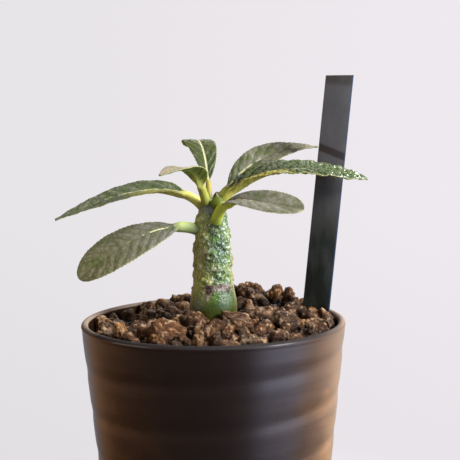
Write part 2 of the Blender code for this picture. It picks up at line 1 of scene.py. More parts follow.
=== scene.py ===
"""The looks of a small potted dorstenia: a lustre-glazed pot, its bed of baked clay grains, a
warty green stem, seven quilted leaves with a bud between them, and a bare glossy plant tag.

Metres, +Z up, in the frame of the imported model. Heights of the plant, the grains and the tag are
measured from the plane of the pot's rim, which is at POT_HEIGHT.
"""
import math
import random
from collections import namedtuple

import bmesh
import bpy
import numpy as np
from mathutils import Matrix, Vector, noise


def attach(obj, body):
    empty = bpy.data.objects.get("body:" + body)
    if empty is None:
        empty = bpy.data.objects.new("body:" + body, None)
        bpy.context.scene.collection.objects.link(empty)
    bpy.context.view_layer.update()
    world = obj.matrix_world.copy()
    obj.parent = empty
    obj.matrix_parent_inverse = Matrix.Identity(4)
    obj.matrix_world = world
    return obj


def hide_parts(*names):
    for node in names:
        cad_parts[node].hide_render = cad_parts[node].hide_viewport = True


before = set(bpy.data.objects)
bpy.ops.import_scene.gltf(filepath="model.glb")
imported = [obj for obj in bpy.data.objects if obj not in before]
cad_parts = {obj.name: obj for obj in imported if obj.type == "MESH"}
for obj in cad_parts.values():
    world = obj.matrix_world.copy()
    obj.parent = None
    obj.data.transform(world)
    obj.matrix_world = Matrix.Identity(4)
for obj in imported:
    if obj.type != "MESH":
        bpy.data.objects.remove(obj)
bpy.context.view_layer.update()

# Pot
POT_HEIGHT = 0.086
RIM_RADIUS = 0.045
WALL_TAPER = 0.1005
WALL = 0.0024
LIP_RADIUS = 0.0012
FLOOR = 0.004
FLOOR_CORNER = 0.002
FOOT_HEIGHT = 0.003
FOOT_WIDTH = 0.004
DRAIN_RADIUS = 0.007
FOOT_BEVEL = 0.0006
BARE_FOOT = 0.0018
NOTCH_WIDTH = 0.006
NOTCH_RISE = 0.0022
NOTCH_COUNT = 3
NOTCH_SHOULDER = 0.0012
POT_STEPS = 256
POT_ROWS = 180
INNER_ROWS = 40
LIP_STEPS = 16
BEND_STEPS = 4
GROOVE_PITCH = 0.0143
GROOVE_START = -0.0013
GROOVE_DEPTH = 0.00019
GROOVE_SHARPNESS = 3.3
GROOVE_FADE_TOP = 0.006
GROOVE_FADE_FOOT = 0.008

# Grains, where a roughness is the height and the size of its bumps
CLEARANCE = 0.0003
SOIL_LEVEL = -0.0034
# The heap behind the stem and the dip at the left: (x, y, height, spread)
SOIL_SWELLS = ((0.014, 0.026, 0.0062, 0.017), (-0.030, 0.006, -0.0034, 0.016))
GRAIN_RADIUS = 0.0046
GRAIN_SPACING = 0.0085
GRAIN_JITTER = 0.0009
GRAIN_LIFT = (-0.0002, 0.0014)
GRAIN_STRETCH = (0.78, 1.18)
GRAIN_KNOCKS = (0.84, 1.12)
GRAIN_KNOCK_COUNT = 12
GRAIN_SEED = 11
GRAIN_SHAPES = 14
GRAIN_FILL = 0.84
GRAIN_ROUGHNESS = (0.0012, 0.0014)
SMALL_GRAIN_COUNT = 95
SMALL_GRAIN_TRIES = 4000
SMALL_GRAIN_SPACING = 0.0046
SMALL_GRAIN_SIZE = (0.0022, 0.0034)
SMALL_GRAIN_LIFT = (0.0014, 0.0032)
SMALL_GRAIN_ROUGHNESS = (0.0008, 0.0011)
CRUMB_COUNT = 420
CRUMB_SHAPES = 4
CRUMB_SIZE = (0.0007, 0.0019)
CRUMB_LIFT = (0.0012, -0.0010)
CRUMB_EDGE = 0.0015
CRUMB_ROUGHNESS = (0.0003, 0.0008)
FILL_DROP = 0.0018
FILL_LUMP = 0.0012
FILL_LUMP_SIZE = 0.0028
NET_ROOM = 0.0123
NET_THICKNESS = 0.0008
# Over these heights a grain passes from painted shade in the gaps to painted light on its top: above
# its own middle, and above a level a little under the fill
OWN_HEIGHT = 0.0062
BED_HEIGHT = 0.0060
BED_START = 0.0010
# A stone of unit size: how far out its broken faces lie, and the depth and scale of what marks them
FACET_COUNT = 13
FACET_DISTANCE = (0.58, 0.95)
FACET_SHARPNESS = 16
STONE_LIMIT = 1.18
STONE_LONGEST = 1.40
STONE_SIZE = 0.93
STONE_SWELL = (0.18, 1.9)
STONE_CRACK = (0.08, 2.6)
CRACK_WIDTH = 0.09
STONE_DENT = (0.10, 5.0)
# Grains that lie on top of the others: (x, y, height above the rim plane, size), in millimetres
TOP_GRAINS = (
    (-6.4, -10.6, 0.4, 4.2), (8.4, -9.8, 0.9, 4.5), (0.8, -13.6, -1.2, 3.4), (-12.6, -9.0, -0.6, 4.0),
    (15.6, -5.0, 1.0, 4.3), (-15.0, -28.0, -0.6, 5.8), (-4.4, -23.5, -0.8, 4.6), (23.0, -14.0, 0.2, 4.4),
    (10.5, -20.0, -0.6, 4.0), (30.0, 3.0, 0.6, 4.2),
)
# What the scatter tree reads from each point
GRAIN_VALUES = (("middle", "FLOAT_VECTOR"), ("turn", "FLOAT_VECTOR"), ("size", "FLOAT_VECTOR"),
                ("shape", "INT"), ("tone", "FLOAT"))

# Stem
STEM_PROFILE = (
    (0.0412, 0.0024), (0.0402, 0.0034), (0.0386, 0.0042), (0.0370, 0.0050), (0.0353, 0.0056),
    (0.0330, 0.0058), (0.0308, 0.0060), (0.0286, 0.0063), (0.0264, 0.0066), (0.0242, 0.0069),
    (0.0220, 0.0071), (0.0198, 0.0071), (0.0176, 0.0070), (0.0154, 0.0071), (0.0132, 0.0073),
    (0.0110, 0.0075), (0.0088, 0.0077), (0.0066, 0.0080), (0.0044, 0.0082), (0.0020, 0.0082),
    (-0.0010, 0.0081), (-0.0060, 0.0078), (-0.0140, 0.0066), (-0.0240, 0.0047), (-0.0340, 0.0028),
    (-0.0390, 0.0012),
)
STEM_STEPS = 232
STEM_ROWS = 300
ROOT_ROWS = 30
STEM_SHOWS_FROM = -0.006
STEM_SPAN = 0.042
ROOT_NECK = 0.0083
SCAR_COUNT = 26
SCAR_TURN = math.radians(137.5)
SCAR_RADIUS = 0.0019
SCAR_HEIGHT = 0.0006
SCAR_LOW = 0.004
SCAR_HIGH = 0.0345
SCARS_START = 0.0080
RELIEF_BASE = 0.0003
CROWN = 0.041
WART_SIZE = 0.00125
WART_HEIGHT = 0.00026
PAPILLA_SIZE = 0.00052
PAPILLA_HEIGHT = 0.00018
WART_BASE = 0.0004
WARTS_START = 0.0050
PIT_DEPTH = 0.00014
DARK_DEPTH = 0.00010
PALE_HEIGHT = 0.00016
KNOB_HEIGHT = 0.0009
CUSHION_HEIGHT = 0.0006
CUSHION_SIZE = 0.0024
# What the stem's front shows: (kind, degrees from the front, height above the rim, half width, half
# height)
MARKS = (
    ("dark", -12, 0.0114, 0.0025, 0.0016), ("dark", -14, 0.0098, 0.0012, 0.0014),
    ("dark", 22, 0.0119, 0.0011, 0.0010), ("dark", 45, 0.0107, 0.0015, 0.0013),
    ("dark", -19, 0.0222, 0.0010, 0.0008), ("faded", 6, 0.0114, 0.0034, 0.0012),
    ("faded", 34, 0.0115, 0.0034, 0.0014), ("faded", -15, 0.0088, 0.0014, 0.0018),
    # The mark at 36 degrees, 6.6 mm up, is a painted sheen
    ("frost", 36, 0.0066, 0.0034, 0.0036), ("ashen", -6, 0.0385, 0.0034, 0.0022),
    ("pale", -16, 0.0080, 0.0006, 0.0014), ("pale", -22, 0.0238, 0.0014, 0.0010),
    ("pale", 1, 0.0177, 0.0013, 0.0009), ("pale", -4, 0.0140, 0.0011, 0.0012),
    ("pale", -44, 0.0182, 0.0009, 0.0012), ("pale", -36, 0.0218, 0.0006, 0.0012),
    ("pale", 62, 0.0248, 0.0012, 0.0008), ("fresh", 12, 0.0275, 0.0016, 0.0012),
    ("fresh", 3, 0.0235, 0.0014, 0.0012), ("fresh", 4, 0.0080, 0.0018, 0.0016),
    ("knob", -43, 0.0337, 0.0011, 0.0010),
)

# Leaves
BLADE_THICKNESS = 0.0006
STALK_FLARE = 0.0004
STALK_FLARE_LENGTH = 0.0025
QUILT_HEIGHT = 0.00045
EDGE_RIPPLE = 0.00016
VEIN_SWEEP = 1.7
VEIN_WOBBLE = 0.28
WOBBLE_SIZE = 0.0050
NOTCH_DEPTH = 0.014
NOTCHES_PER_QUILT = 3
TIP_HALF_WIDTH = 0.0005
PILLOW_SIZE = 0.0021
PILLOW_HEIGHT = 0.00030
VEIN_WIDTH = 0.00034
VEIN_DEPTH = 0.00016
VEIN_RISE_UNDER = 0.00014
MIDRIB_DEPTH = 0.00022
MIDRIB_WIDTH = 0.00045
MIDRIB_PALE_WIDTH = 0.00048
LEAF_COLUMNS = 45
LEAF_ROWS_PER_QUILT = 18
PETIOLE_ROWS = 26

# One leaf: its midrib is a Bezier curve through four points measured from the rim's centre, from
# the stem to the tip. Roll and fold are in degrees, quilts counts the raised pads on each side, and
# puffed says how strongly they stand out.
Leaf = namedtuple("Leaf", "name midrib petiole stalk half_width fill taper roll fold quilts puffed")
LEAVES = (
    Leaf("leaf_left_upper",
         ((-0.0032, 0.0006, 0.0384), (-0.0116, 0.0000, 0.0474),
          (-0.0272, -0.0020, 0.0461), (-0.0526, -0.0040, 0.0348)),
         0.007, 0.0015, 0.0052, 0.55, 1.06, (-19, -33), (22, 2), 10, 0.5),
    Leaf("leaf_left_lower",
         ((-0.0046, -0.0016, 0.0306), (-0.0144, -0.0060, 0.0344),
          (-0.0273, -0.0140, 0.0305), (-0.0433, -0.0160, 0.0165)),
         0.008, 0.0018, 0.0077, 0.68, 0.50, (-37, -35), (-12, 5), 9, 0.36),
    Leaf("leaf_front_small",
         ((-0.0018, -0.0030, 0.0395), (-0.0053, -0.0060, 0.0510),
          (-0.0055, -0.0180, 0.0536), (-0.0158, -0.0300, 0.0499)),
         0.007, 0.0014, 0.0050, 0.62, 0.8, (5, -4), (10, 10), 7, 0.25),
    Leaf("leaf_top_back",
         ((-0.0010, 0.0028, 0.0408), (-0.0011, 0.0050, 0.0532),
          (-0.0038, 0.0140, 0.0664), (-0.0072, 0.0270, 0.0590)),
         0.006, 0.0009, 0.0056, 0.80, 0.42, (2, 0), (12, -4), 7, 0.4),
    Leaf("leaf_right_back",
         ((0.0024, 0.0030, 0.0404), (0.0106, 0.0085, 0.0519),
          (0.0195, 0.0140, 0.0582), (0.0384, 0.0185, 0.0584)),
         0.005, 0.0013, 0.0058, 1.00, 1.25, (44, 23), (9, 14), 9, 0.4),
    Leaf("leaf_right_main",
         ((0.0034, -0.0008, 0.0398), (0.0118, -0.0012, 0.0518),
          (0.0345, -0.0010, 0.0537), (0.0531, 0.0000, 0.0472)),
         0.005, 0.0013, 0.0070, 0.48, 0.71, (9, 25), (27, -11), 10, 1.2),
    Leaf("leaf_right_front",
         ((0.0010, -0.0046, 0.0332), (0.0046, -0.0095, 0.0450),
          (0.0090, -0.0180, 0.0410), (0.0285, -0.0260, 0.0386)),
         0.008, 0.0017, 0.0063, 0.88, 0.53, (23, 27), (15, 9), 7, 0.25),
)

# How each leaf is coloured: the upper face by the stem and towards the tip, the lower face and the
# stalk, partly the leaf's own colours and partly painted light and shade for where it stands; then how
# much painted grey sheen it has, which also sets its shader sheen, how dark the painted shade in its
# furrows is, how unbroken its pale midrib is, how rough and how glossy it is, and how strongly a
# painted glow of light through one half by the stalk shows (the other half if below 0)
Look = namedtuple("Look", "near far lower stalk dust depth streak gloss shine lit")
LOOKS = {
    "leaf_left_upper": Look((58, 74, 30), (100, 104, 78), (176, 170, 84), (216, 208, 112),
                            0.28, 0.50, 0.6, 0.45, 0.0, 0.7),
    "leaf_left_lower": Look((96, 94, 80), (108, 104, 66), (150, 152, 108), (176, 188, 118),
                            0.20, 0.45, 0.0, 0.50, 0.0, 0.0),
    "leaf_front_small": Look((120, 126, 76), (148, 132, 110), (122, 142, 58), (164, 164, 76),
                             0.15, 0.20, 0.2, 0.55, 0.0, 0.0),
    "leaf_top_back": Look((54, 66, 22), (80, 82, 42), (150, 156, 84), (164, 150, 70),
                          0.12, 0.40, 1.0, 0.45, 0.1, 0.0),
    "leaf_right_back": Look((62, 74, 26), (122, 112, 92), (136, 140, 90), (152, 154, 66),
                            0.40, 0.35, 0.1, 0.50, 0.0, 0.0),
    "leaf_right_main": Look((58, 62, 38), (82, 100, 54), (178, 166, 76), (190, 182, 84),
                            0.20, 0.70, 0.1, 0.34, 0.7, -1.0),
    "leaf_right_front": Look((120, 113, 100), (102, 100, 72), (156, 154, 108), (194, 204, 74),
                             0.45, 0.30, 0.0, 0.55, 0.0, 0.0),
}

# Bud
BUD_BASE = (0.0012, -0.0004, 0.0398)
BUD_LEAN = (0.10, -0.10)
BUD_LENGTH = 0.0036
BUD_RADIUS = 0.0011
BUD_FOLDS = 3
SCALE_PLACE = (0.0018, -0.0052, 0.0396)
SCALE_SIZE = (0.0024, 0.0011, 0.0026)

# Plant tag
TAG_WIDTH = 0.0095
TAG_THICKNESS = 0.0010
TAG_TOP = 0.0836
TAG_DEPTH = 0.037
TAG_POINT = 0.008
TAG_TOP_SLANT = 0.001
TAG_LEAN = math.radians(5.9)
TAG_AT_RIM = (0.0359, 0.0060)
TAG_EDGE = 0.00018
# Where the painted shadow lies across the tag, and its width
PAINTED_SHADOW_LEVEL = 0.0567
PAINTED_SHADOW_WIDTH = 0.002

# Camera and room
CAMERA_PLACE = (0.0, -0.290, 0.1417)
CAMERA_YAW = math.radians(1.18)
CAMERA_PITCH = math.radians(5.01)
CAMERA_ROLL = math.radians(0.65)
CAMERA_LENS = 66.8
AIM = Vector((0.0, 0.0, 0.1))
# The room as it lights the pot: (degrees to the right of the camera's side, red, green, blue)
ROOM_PEAK = 6.0
ROOM_LIGHT = 1.35
ROOM = (
    (-180, 0.34, 0.35, 0.38), (-155, 0.18, 0.19, 0.22), (-128, 0.33, 0.20, 0.12), (-95, 0.30, 0.18, 0.11),
    (-60, 0.34, 0.26, 0.22), (-20, 0.31, 0.27, 0.26), (12, 0.34, 0.32, 0.34), (30, 0.52, 0.56, 0.66),
    (50, 1.60, 1.92, 2.65), (76, 1.70, 1.98, 2.60), (94, 1.45, 1.22, 1.08), (116, 1.50, 1.16, 0.92),
    (150, 0.64, 0.52, 0.43), (180, 0.34, 0.35, 0.38),
)


def linear(level):
    """For a shader: a grey level, a colour as it is seen (0 to 255 a channel), or a ready value."""
    if isinstance(level, (int, float)):
        return (level, level, level, 1.0)
    if not isinstance(level, tuple) or len(level) == 4:
        return level
    values = []
    for channel in level:
        share = channel / 255
        values.append(share / 12.92 if share <= 0.04045 else ((share + 0.055) / 1.055) ** 2.4)
    return (*values, 1.0)


def smooth(value):
    value = np.clip(value, 0.0, 1.0)
    return value * value * (3.0 - 2.0 * value)


def unit(vectors):
    return vectors / np.linalg.norm(vectors, axis=-1, keepdims=True)


def stacked(x, y, z):
    return np.stack(np.broadcast_arrays(x, y, z), axis=-1)


def rounded(radius, angle, height):
    """Points about the upright axis."""
    return stacked(radius * np.cos(angle), radius * np.sin(angle), height)


def feed(tree, socket, value):
    """Feeds a socket with a value or with another node's output."""
    if isinstance(value, bpy.types.NodeSocket):
        tree.links.new(value, socket)
    else:
        socket.default_value = value


def add_node(tree, kind, feeds=(), **settings):
    """Adds a node, makes its settings, then feeds its inputs by name or number."""
    made = tree.nodes.new(kind)
    for key, value in settings.items():
        setattr(made, key, value)
    for key, value in dict(feeds).items():
        feed(tree, made.inputs[key], value)
    return made


class Recipe:
    """The nodes of a new material or of the world, written as a short chain of steps."""

    def __init__(self, block, coordinates="Object"):
        block.use_nodes = True
        self.block = block
        self.tree = block.node_tree
        self.place = self.node("ShaderNodeTexCoord").outputs[coordinates]

    def node(self, kind, feeds=(), **settings):
        return add_node(self.tree, kind, feeds, **settings)

    def noise(self, size, detail=3.0, rough=0.5, stretch=None):
        """Soft noise whose blobs are about this size in metres, unless they are stretched."""
        place = self.place
        if stretch:
            place = self.node("ShaderNodeMapping", {"Vector": place, "Scale": stretch}).outputs["Vector"]
        feeds = {"Vector": place, "Scale": 1.0 / size, "Detail": detail, "Roughness": rough}
        return self.node("ShaderNodeTexNoise", feeds).outputs["Fac"]

    def attribute(self, name):
        return self.node("ShaderNodeAttribute", attribute_name=name).outputs["Fac"]

    def split(self):
        """The three coordinates."""
        return self.node("ShaderNodeSeparateXYZ", {0: self.place}).outputs

    def around(self):
        """The turn about the upright axis, from 0 at the back through 0.5 at the camera's side to 1."""
        x, y, _ = self.split()
        return self.plus(self.times(self.math("ARCTAN2", x, self.times(y, -1.0)), 1.0 / math.tau), 0.5)

    def ramp(self, value, *stops):
        """Colours or grey levels along a value: each stop is (position, level)."""
        made = self.node("ShaderNodeValToRGB", {"Fac": value})
        elements = made.color_ramp.elements
        while len(elements) < len(stops):
            elements.new(1.0)
        for element, (position, level) in zip(elements, stops):
            element.position = position
            element.color = linear(level)
        return made.outputs["Color"]

    def math(self, operation, first, second=0.0):
        return self.node("ShaderNodeMath", {0: first, 1: second}, operation=operation).outputs["Value"]

    def times(self, first, second):
        return self.math("MULTIPLY", first, second)

    def plus(self, first, second):
        return self.math("ADD", first, second)

    def blend(self, share, first, second, mode="MIX"):
        feeds = {"Factor": share, 6: linear(first), 7: linear(second)}
        return self.node("ShaderNodeMix", feeds, data_type="RGBA", blend_type=mode).outputs[2]

    def layers(self, tint, *rows):
        """Lays colours over one another: each row is (value, any stops of a ramp on it, colour)."""
        for value, *stops, colour in rows:
            share = self.ramp(value, *stops) if stops else value
            tint = self.blend(share, tint, colour)
        return tint

    def bump(self, height, depth, under=None):
        feeds = {"Height": height, "Distance": depth, "Strength": 1.0}
        if under:
            feeds["Normal"] = under
        return self.node("ShaderNodeBump", feeds).outputs["Normal"]

    def show(self, output, share, first, second):
        """Shows one of two finishes, by the share of the second."""
        both = self.node("ShaderNodeMixShader", {0: share, 1: first, 2: second})
        feed(self.tree, self.tree.nodes[output].inputs["Surface"], both.outputs[0])

    def finish(self, **values):
        """Feeds the shader's sockets, where base_color is Base Color, and gives the material."""
        shader = self.tree.nodes["Principled BSDF"]
        for key, value in values.items():
            feed(self.tree, shader.inputs[key.replace("_", " ").title().replace("Ior", "IOR")], value)
        return self.block


def new_recipe(name):
    return Recipe(bpy.data.materials.new(name))


def linked(name, data):
    """A new object in the scene."""
    obj = bpy.data.objects.new(name, data)
    bpy.context.scene.collection.objects.link(obj)
    return obj


def new_mesh(name, points, faces=()):
    mesh = bpy.data.meshes.new(name)
    mesh.from_pydata(points, [], faces)
    return mesh


def drawn_mesh(name, work):
    mesh = bpy.data.meshes.new(name)
    work.to_mesh(mesh)
    work.free()
    return mesh


def store(mesh, key, values, kind="FLOAT"):
    """Keeps a value for each point of the mesh."""
    layer = mesh.attributes.new(key, kind, "POINT")
    layer.data.foreach_set("vector" if kind == "FLOAT_VECTOR" else "value", np.ravel(values))


def grid(rings):
    """Numbers of the points in the rings, and of the next point round in each."""
    rows, count = rings.shape[:2]
    index = np.arange(rows * count).reshape(rows, count)
    return index, np.roll(index, -1, axis=1)


def skin(name, rings, attributes, material):
    """A closed smooth skin over rings of points, capped with a point at each end."""
    index, after = grid(rings)
    count = index.shape[1]
    ends = np.array([rings[0].mean(axis=0), rings[-1].mean(axis=0)])
    points = np.concatenate([rings.reshape(-1, 3), ends])
    quads = np.stack([index[:-1], after[:-1], after[1:], index[1:]], axis=-1).reshape(-1, 4)
    first = np.stack([after[0], index[0], np.full(count, index.size)], axis=-1)
    last = np.stack([index[-1], after[-1], np.full(count, index.size + 1)], axis=-1)
    mesh = new_mesh(name, points.tolist(), quads.tolist() + first.tolist() + last.tolist())
    for key, values in attributes.items():
        values = np.broadcast_to(values, index.shape)
        flat = np.concatenate([values.reshape(-1), [values[0].mean(), values[-1].mean()]])
        store(mesh, key, flat.astype(np.float32))
    return finished(name, mesh, material)


def finished(name, mesh, material):
    """Links a mesh as an object with its faces turned outwards and shaded smooth."""
    work = bmesh.new()
    work.from_mesh(mesh)
    if work.calc_volume(signed=True) < 0:
        bmesh.ops.reverse_faces(work, faces=work.faces)
    work.to_mesh(mesh)
    work.free()
    mesh.name = name
    mesh.materials.clear()
    mesh.materials.append(material)
    mesh.shade_smooth()
    return linked(name, mesh)


def evaluated(obj, name, material):
    """The shape of an object after its modifiers, as a plain mesh at the origin."""
    graph = bpy.context.evaluated_depsgraph_get()
    mesh = bpy.data.meshes.new_from_object(obj.evaluated_get(graph))
    mesh.transform(obj.matrix_world)
    bpy.data.objects.remove(obj, do_unlink=True)
    return finished(name, mesh, material)


def settle(obj, slot, *nodes):
    """The piece rides with the pot and stands for these nodes."""
    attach(obj, "root")
    if nodes:
        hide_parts(*nodes)


# Pot

def outer_radius(height):
    return RIM_RADIUS + WALL_TAPER * (height - POT_HEIGHT)


def inner_radius(height):
    return outer_radius(height) - WALL


def throwing_line(angle, height):
    """The shallow groove between broad swells that the potter's fingers leave, winding down the wall."""
    below_rim = POT_HEIGHT - height
    turns = (-below_rim - GROOVE_START) / GROOVE_PITCH - angle / math.tau
    fade = np.clip(below_rim / GROOVE_FADE_TOP, 0, 1) * np.clip(height / GROOVE_FADE_FOOT, 0, 1)
    cut = (0.5 - 0.5 * np.cos(math.tau * turns)) ** GROOVE_SHARPNESS
    return GROOVE_DEPTH * (0.5 - 1.35 * cut) * fade


def pot_profile():
    """The pot's section as (radius, height, on the outer wall), from the lip's inner edge round."""
    lip_middle = RIM_RADIUS - LIP_RADIUS
    lip_base = POT_HEIGHT - LIP_RADIUS
    foot_radius = outer_radius(0.0)
    foot_inside = foot_radius - FOOT_WIDTH
    floor_top = FOOT_HEIGHT + FLOOR
    bend = [math.pi / 2 * step / BEND_STEPS for step in range(1, BEND_STEPS + 1)]
    profile = []
    for step in range(LIP_STEPS + 1):
        turn = math.pi - math.pi * step / LIP_STEPS
        profile.append((lip_middle + LIP_RADIUS * math.cos(turn), lip_base + LIP_RADIUS * math.sin(turn), 0))
    for row in range(1, POT_ROWS):
        height = lip_base + (FOOT_BEVEL - lip_base) * row / (POT_ROWS - 1)
        profile.append((outer_radius(height), height, 1))
    for turn in bend:
        out = foot_radius - FOOT_BEVEL * (1 - math.cos(turn))
        profile.append((out, FOOT_BEVEL * (1 - math.sin(turn)), 0))
    for out, height in ((foot_radius - FOOT_WIDTH / 2, 0.0), (foot_inside, 0.0),
                        (foot_inside - FOOT_BEVEL * 0.7, FOOT_BEVEL),
                        (foot_inside - FOOT_BEVEL, FOOT_HEIGHT - FOOT_BEVEL),
                        (foot_inside - 2 * FOOT_BEVEL, FOOT_HEIGHT),
                        *((DRAIN_RADIUS + share * (foot_inside - DRAIN_RADIUS), FOOT_HEIGHT)
                          for share in (0.75, 0.5, 0.25)),
                        (DRAIN_RADIUS + FOOT_BEVEL, FOOT_HEIGHT), (DRAIN_RADIUS, FOOT_HEIGHT + FOOT_BEVEL),
                        (DRAIN_RADIUS, floor_top - FOOT_BEVEL), (DRAIN_RADIUS + FOOT_BEVEL, floor_top),
                        (inner_radius(floor_top) - FLOOR_CORNER, floor_top)):
        profile.append((out, height, 0))
    for turn in bend:
        height = floor_top + FLOOR_CORNER * (1 - math.cos(turn))
        profile.append((inner_radius(height) - FLOOR_CORNER * (1 - math.sin(turn)), height, 0))
    for row in range(1, INNER_ROWS):
        height = floor_top + FLOOR_CORNER + (lip_base - floor_top - FLOOR_CORNER) * row / INNER_ROWS
        profile.append((inner_radius(height), height, 0))
    return np.array(profile)


def build_pot(material):
    profile = pot_profile()
    angle = np.linspace(0, math.tau, POT_STEPS, endpoint=False)[None, :]
    height = np.repeat(profile[:, 1:2], POT_STEPS, axis=1)
    radius = profile[:, 0:1] + profile[:, 2:3] * throwing_line(angle, height)
    nearest = np.full_like(angle, np.inf)
    for notch in range(NOTCH_COUNT):
        middle = math.tau * (notch + 0.25) / NOTCH_COUNT
        turn = np.abs((angle - middle + math.pi) % math.tau - math.pi)
        nearest = np.minimum(nearest, turn * outer_radius(0.0))
    rise = NOTCH_RISE * (1.0 - smooth((nearest - NOTCH_WIDTH / 2) / NOTCH_SHOULDER + 0.5))
    reach = np.where(radius > outer_radius(0.0) - FOOT_WIDTH / 2, 3.0 * NOTCH_RISE, FOOT_HEIGHT)
    in_foot = (height < reach) & (radius > outer_radius(0.0) - FOOT_WIDTH - 3 * FOOT_BEVEL)
    height = np.where(in_foot, height + rise * (1.0 - height / reach), height)
    rings = rounded(radius, angle, height)
    index, after = grid(rings)
    faces = np.stack([index, after, np.roll(after, -1, axis=0), np.roll(index, -1, axis=0)], axis=-1)
    mesh = new_mesh("glazed_pot", rings.reshape(-1, 3).tolist(), faces.reshape(-1, 4).tolist())
    settle(finished("glazed_pot", mesh, material), "glaze", "pot")


def glaze_material():
    """Dark bronze-brown lustre glaze, satin, with a painted amber reflection round its sides and a painted
    highlight on the lip at the sides, over a bare foot.
    """
    mix = new_recipe("lustre_glaze")
    z = mix.split()[2]
    wide = mix.noise(0.030, detail=2.0, stretch=(1.0, 1.0, 1.6))
    cloud = mix.noise(0.010, stretch=(1.0, 1.0, 2.0))
    around = mix.plus(mix.around(), mix.times(mix.math("SUBTRACT", wide, 0.5), 0.10))
    # Painted reflection: amber where warm light mirrors at the pot's sides, broken up by the glaze's own
    # cloudy variation, weaker towards the top
    amber_painted_reflection = mix.ramp(around, (0.0, 0.25), (0.10, 0.60), (0.17, 0.25), (0.29, 0.62), (0.37, 0.34), (0.44, 0.08),
                    (0.50, 0.0), (0.57, 0.03), (0.61, 0.12), (0.645, 0.42), (0.70, 1.0), (0.79, 0.80),
                    (0.87, 0.15), (1.0, 0.25))
    level = mix.times(z, 1.0 / POT_HEIGHT)
    amber_painted_reflection = mix.times(amber_painted_reflection, mix.ramp(level, (0.12, 0.92), (0.75, 0.74), (0.93, 0.45)))
    amber_painted_reflection = mix.times(amber_painted_reflection, mix.ramp(cloud, (0.30, 0.70), (0.70, 1.15)))
    bare = mix.ramp(mix.times(z, 1.0 / BARE_FOOT), (0.35, 1.0), (0.62, 0.0))
    lip = mix.times(mix.math("SUBTRACT", z, POT_HEIGHT - LIP_RADIUS), 1.0 / LIP_RADIUS)
    lip = mix.ramp(lip, (0.10, 0.0), (0.55, 1.0))
    # Painted highlight: the lip paler at its left and right sides and dark at the front
    painted_lip_highlight = mix.ramp(around, (0.0, (70, 60, 56)), (0.16, (168, 148, 132)), (0.27, (160, 140, 124)),
                        (0.34, (40, 36, 36)), (0.62, (40, 36, 36)), (0.72, (150, 130, 116)),
                        (0.80, (150, 130, 116)), (0.92, (70, 60, 56)))
    tint = mix.ramp(amber_painted_reflection, (0.0, (46, 33, 29)), (0.22, (82, 57, 39)), (0.50, (136, 98, 58)),
                    (1.0, (198, 154, 96)))
    tint = mix.layers(tint, (bare, (132, 92, 66)), (mix.times(lip, 0.85), painted_lip_highlight))
    satin = mix.ramp(mix.plus(mix.times(cloud, 0.5), bare), (0.15, 0.25), (0.35, 0.34), (1.0, 0.85))
    dull = mix.math("MAXIMUM", bare, lip)
    throwing = mix.noise(0.0016, detail=2.0, stretch=(0.05, 0.05, 1.0))
    fine = mix.noise(0.0007, rough=0.6)
    return mix.finish(base_color=tint, roughness=mix.blend(lip, satin, 0.76), specular_ior_level=0.25,
                      metallic=mix.ramp(dull, (0.0, 0.75), (1.0, 0.0)),
                      coat_weight=mix.ramp(dull, (0.0, 0.70), (1.0, 0.0)), coat_roughness=0.15,
                      normal=mix.bump(throwing, 0.00010, under=mix.bump(fine, 0.00001)))


# Grains

def soil_height(x, y):
    """The height of the fill under the grains."""
    level = POT_HEIGHT + SOIL_LEVEL
    for middle_x, middle_y, height, spread in SOIL_SWELLS:
        away = (x - middle_x) ** 2 + (y - middle_y) ** 2
        level = level + height * np.exp(-away / (2 * spread ** 2))
    return level


def grain_places(draw):
    """A jittered triangular lattice over the soil, clear of the wall and of the stem's middle."""
    places = []
    row_step = GRAIN_SPACING * math.sqrt(3) / 2
    rows = int(RIM_RADIUS / row_step) + 1
    for row in range(-rows, rows + 1):
        for column in range(-rows, rows + 1):
            x = (column + 0.5 * (row % 2)) * GRAIN_SPACING + draw.uniform(-GRAIN_JITTER, GRAIN_JITTER)
            y = row * row_step + draw.uniform(-GRAIN_JITTER, GRAIN_JITTER)
            away = math.hypot(x, y)
            if away < ROOT_NECK + GRAIN_JITTER:
                continue
            height = float(soil_height(x, y)) + draw.uniform(*GRAIN_LIFT)
            limit = inner_radius(height) - 0.75 * GRAIN_RADIUS
            if away > limit + 0.5 * GRAIN_SPACING:
                continue
            if away > limit:
                x *= limit / away
                y *= limit / away
            places.append((x, y, height))
    return places


def any_way(draw):
    return Vector((draw.gauss(0, 1), draw.gauss(0, 1), draw.gauss(0, 1))).normalized()


def stone(name, draw, subdivisions, pitted):
    """A knocked-about lump of baked clay about one unit in radius: broken faces, dents and pits."""
    work = bmesh.new()
    bmesh.ops.create_icosphere(work, subdivisions=subdivisions, radius=1.0)
    facets = [(any_way(draw), draw.uniform(*FACET_DISTANCE)) for _ in range(FACET_COUNT)]
    shift = Vector((draw.uniform(0, 50), draw.uniform(0, 50), draw.uniform(0, 50)))
    longer = draw.uniform(1.0, STONE_LONGEST)
    for vert in work.verts:
        ray = vert.co.normalized()
        press = sum((max(0.0, ray.dot(facing)) / distance) ** FACET_SHARPNESS for facing, distance in facets)
        radius = min(STONE_LIMIT, max(press, 1e-12) ** (-1 / FACET_SHARPNESS))
        radius *= 1.0 + STONE_SWELL[0] * noise.noise(ray * STONE_SWELL[1] + shift)
        if pitted:
            crack = abs(noise.noise(ray * STONE_CRACK[1] + shift))
            radius -= STONE_CRACK[0] * math.exp(-(crack / CRACK_WIDTH) ** 2)
            radius += STONE_DENT[0] * noise.noise(ray * STONE_DENT[1] + shift)
        vert.co = ray * radius * STONE_SIZE
        vert.co.x *= longer
        vert.co.y /= math.sqrt(longer)
        vert.co.z /= math.sqrt(longer)
    return bpy.data.objects.new(name, drawn_mesh(name, work))


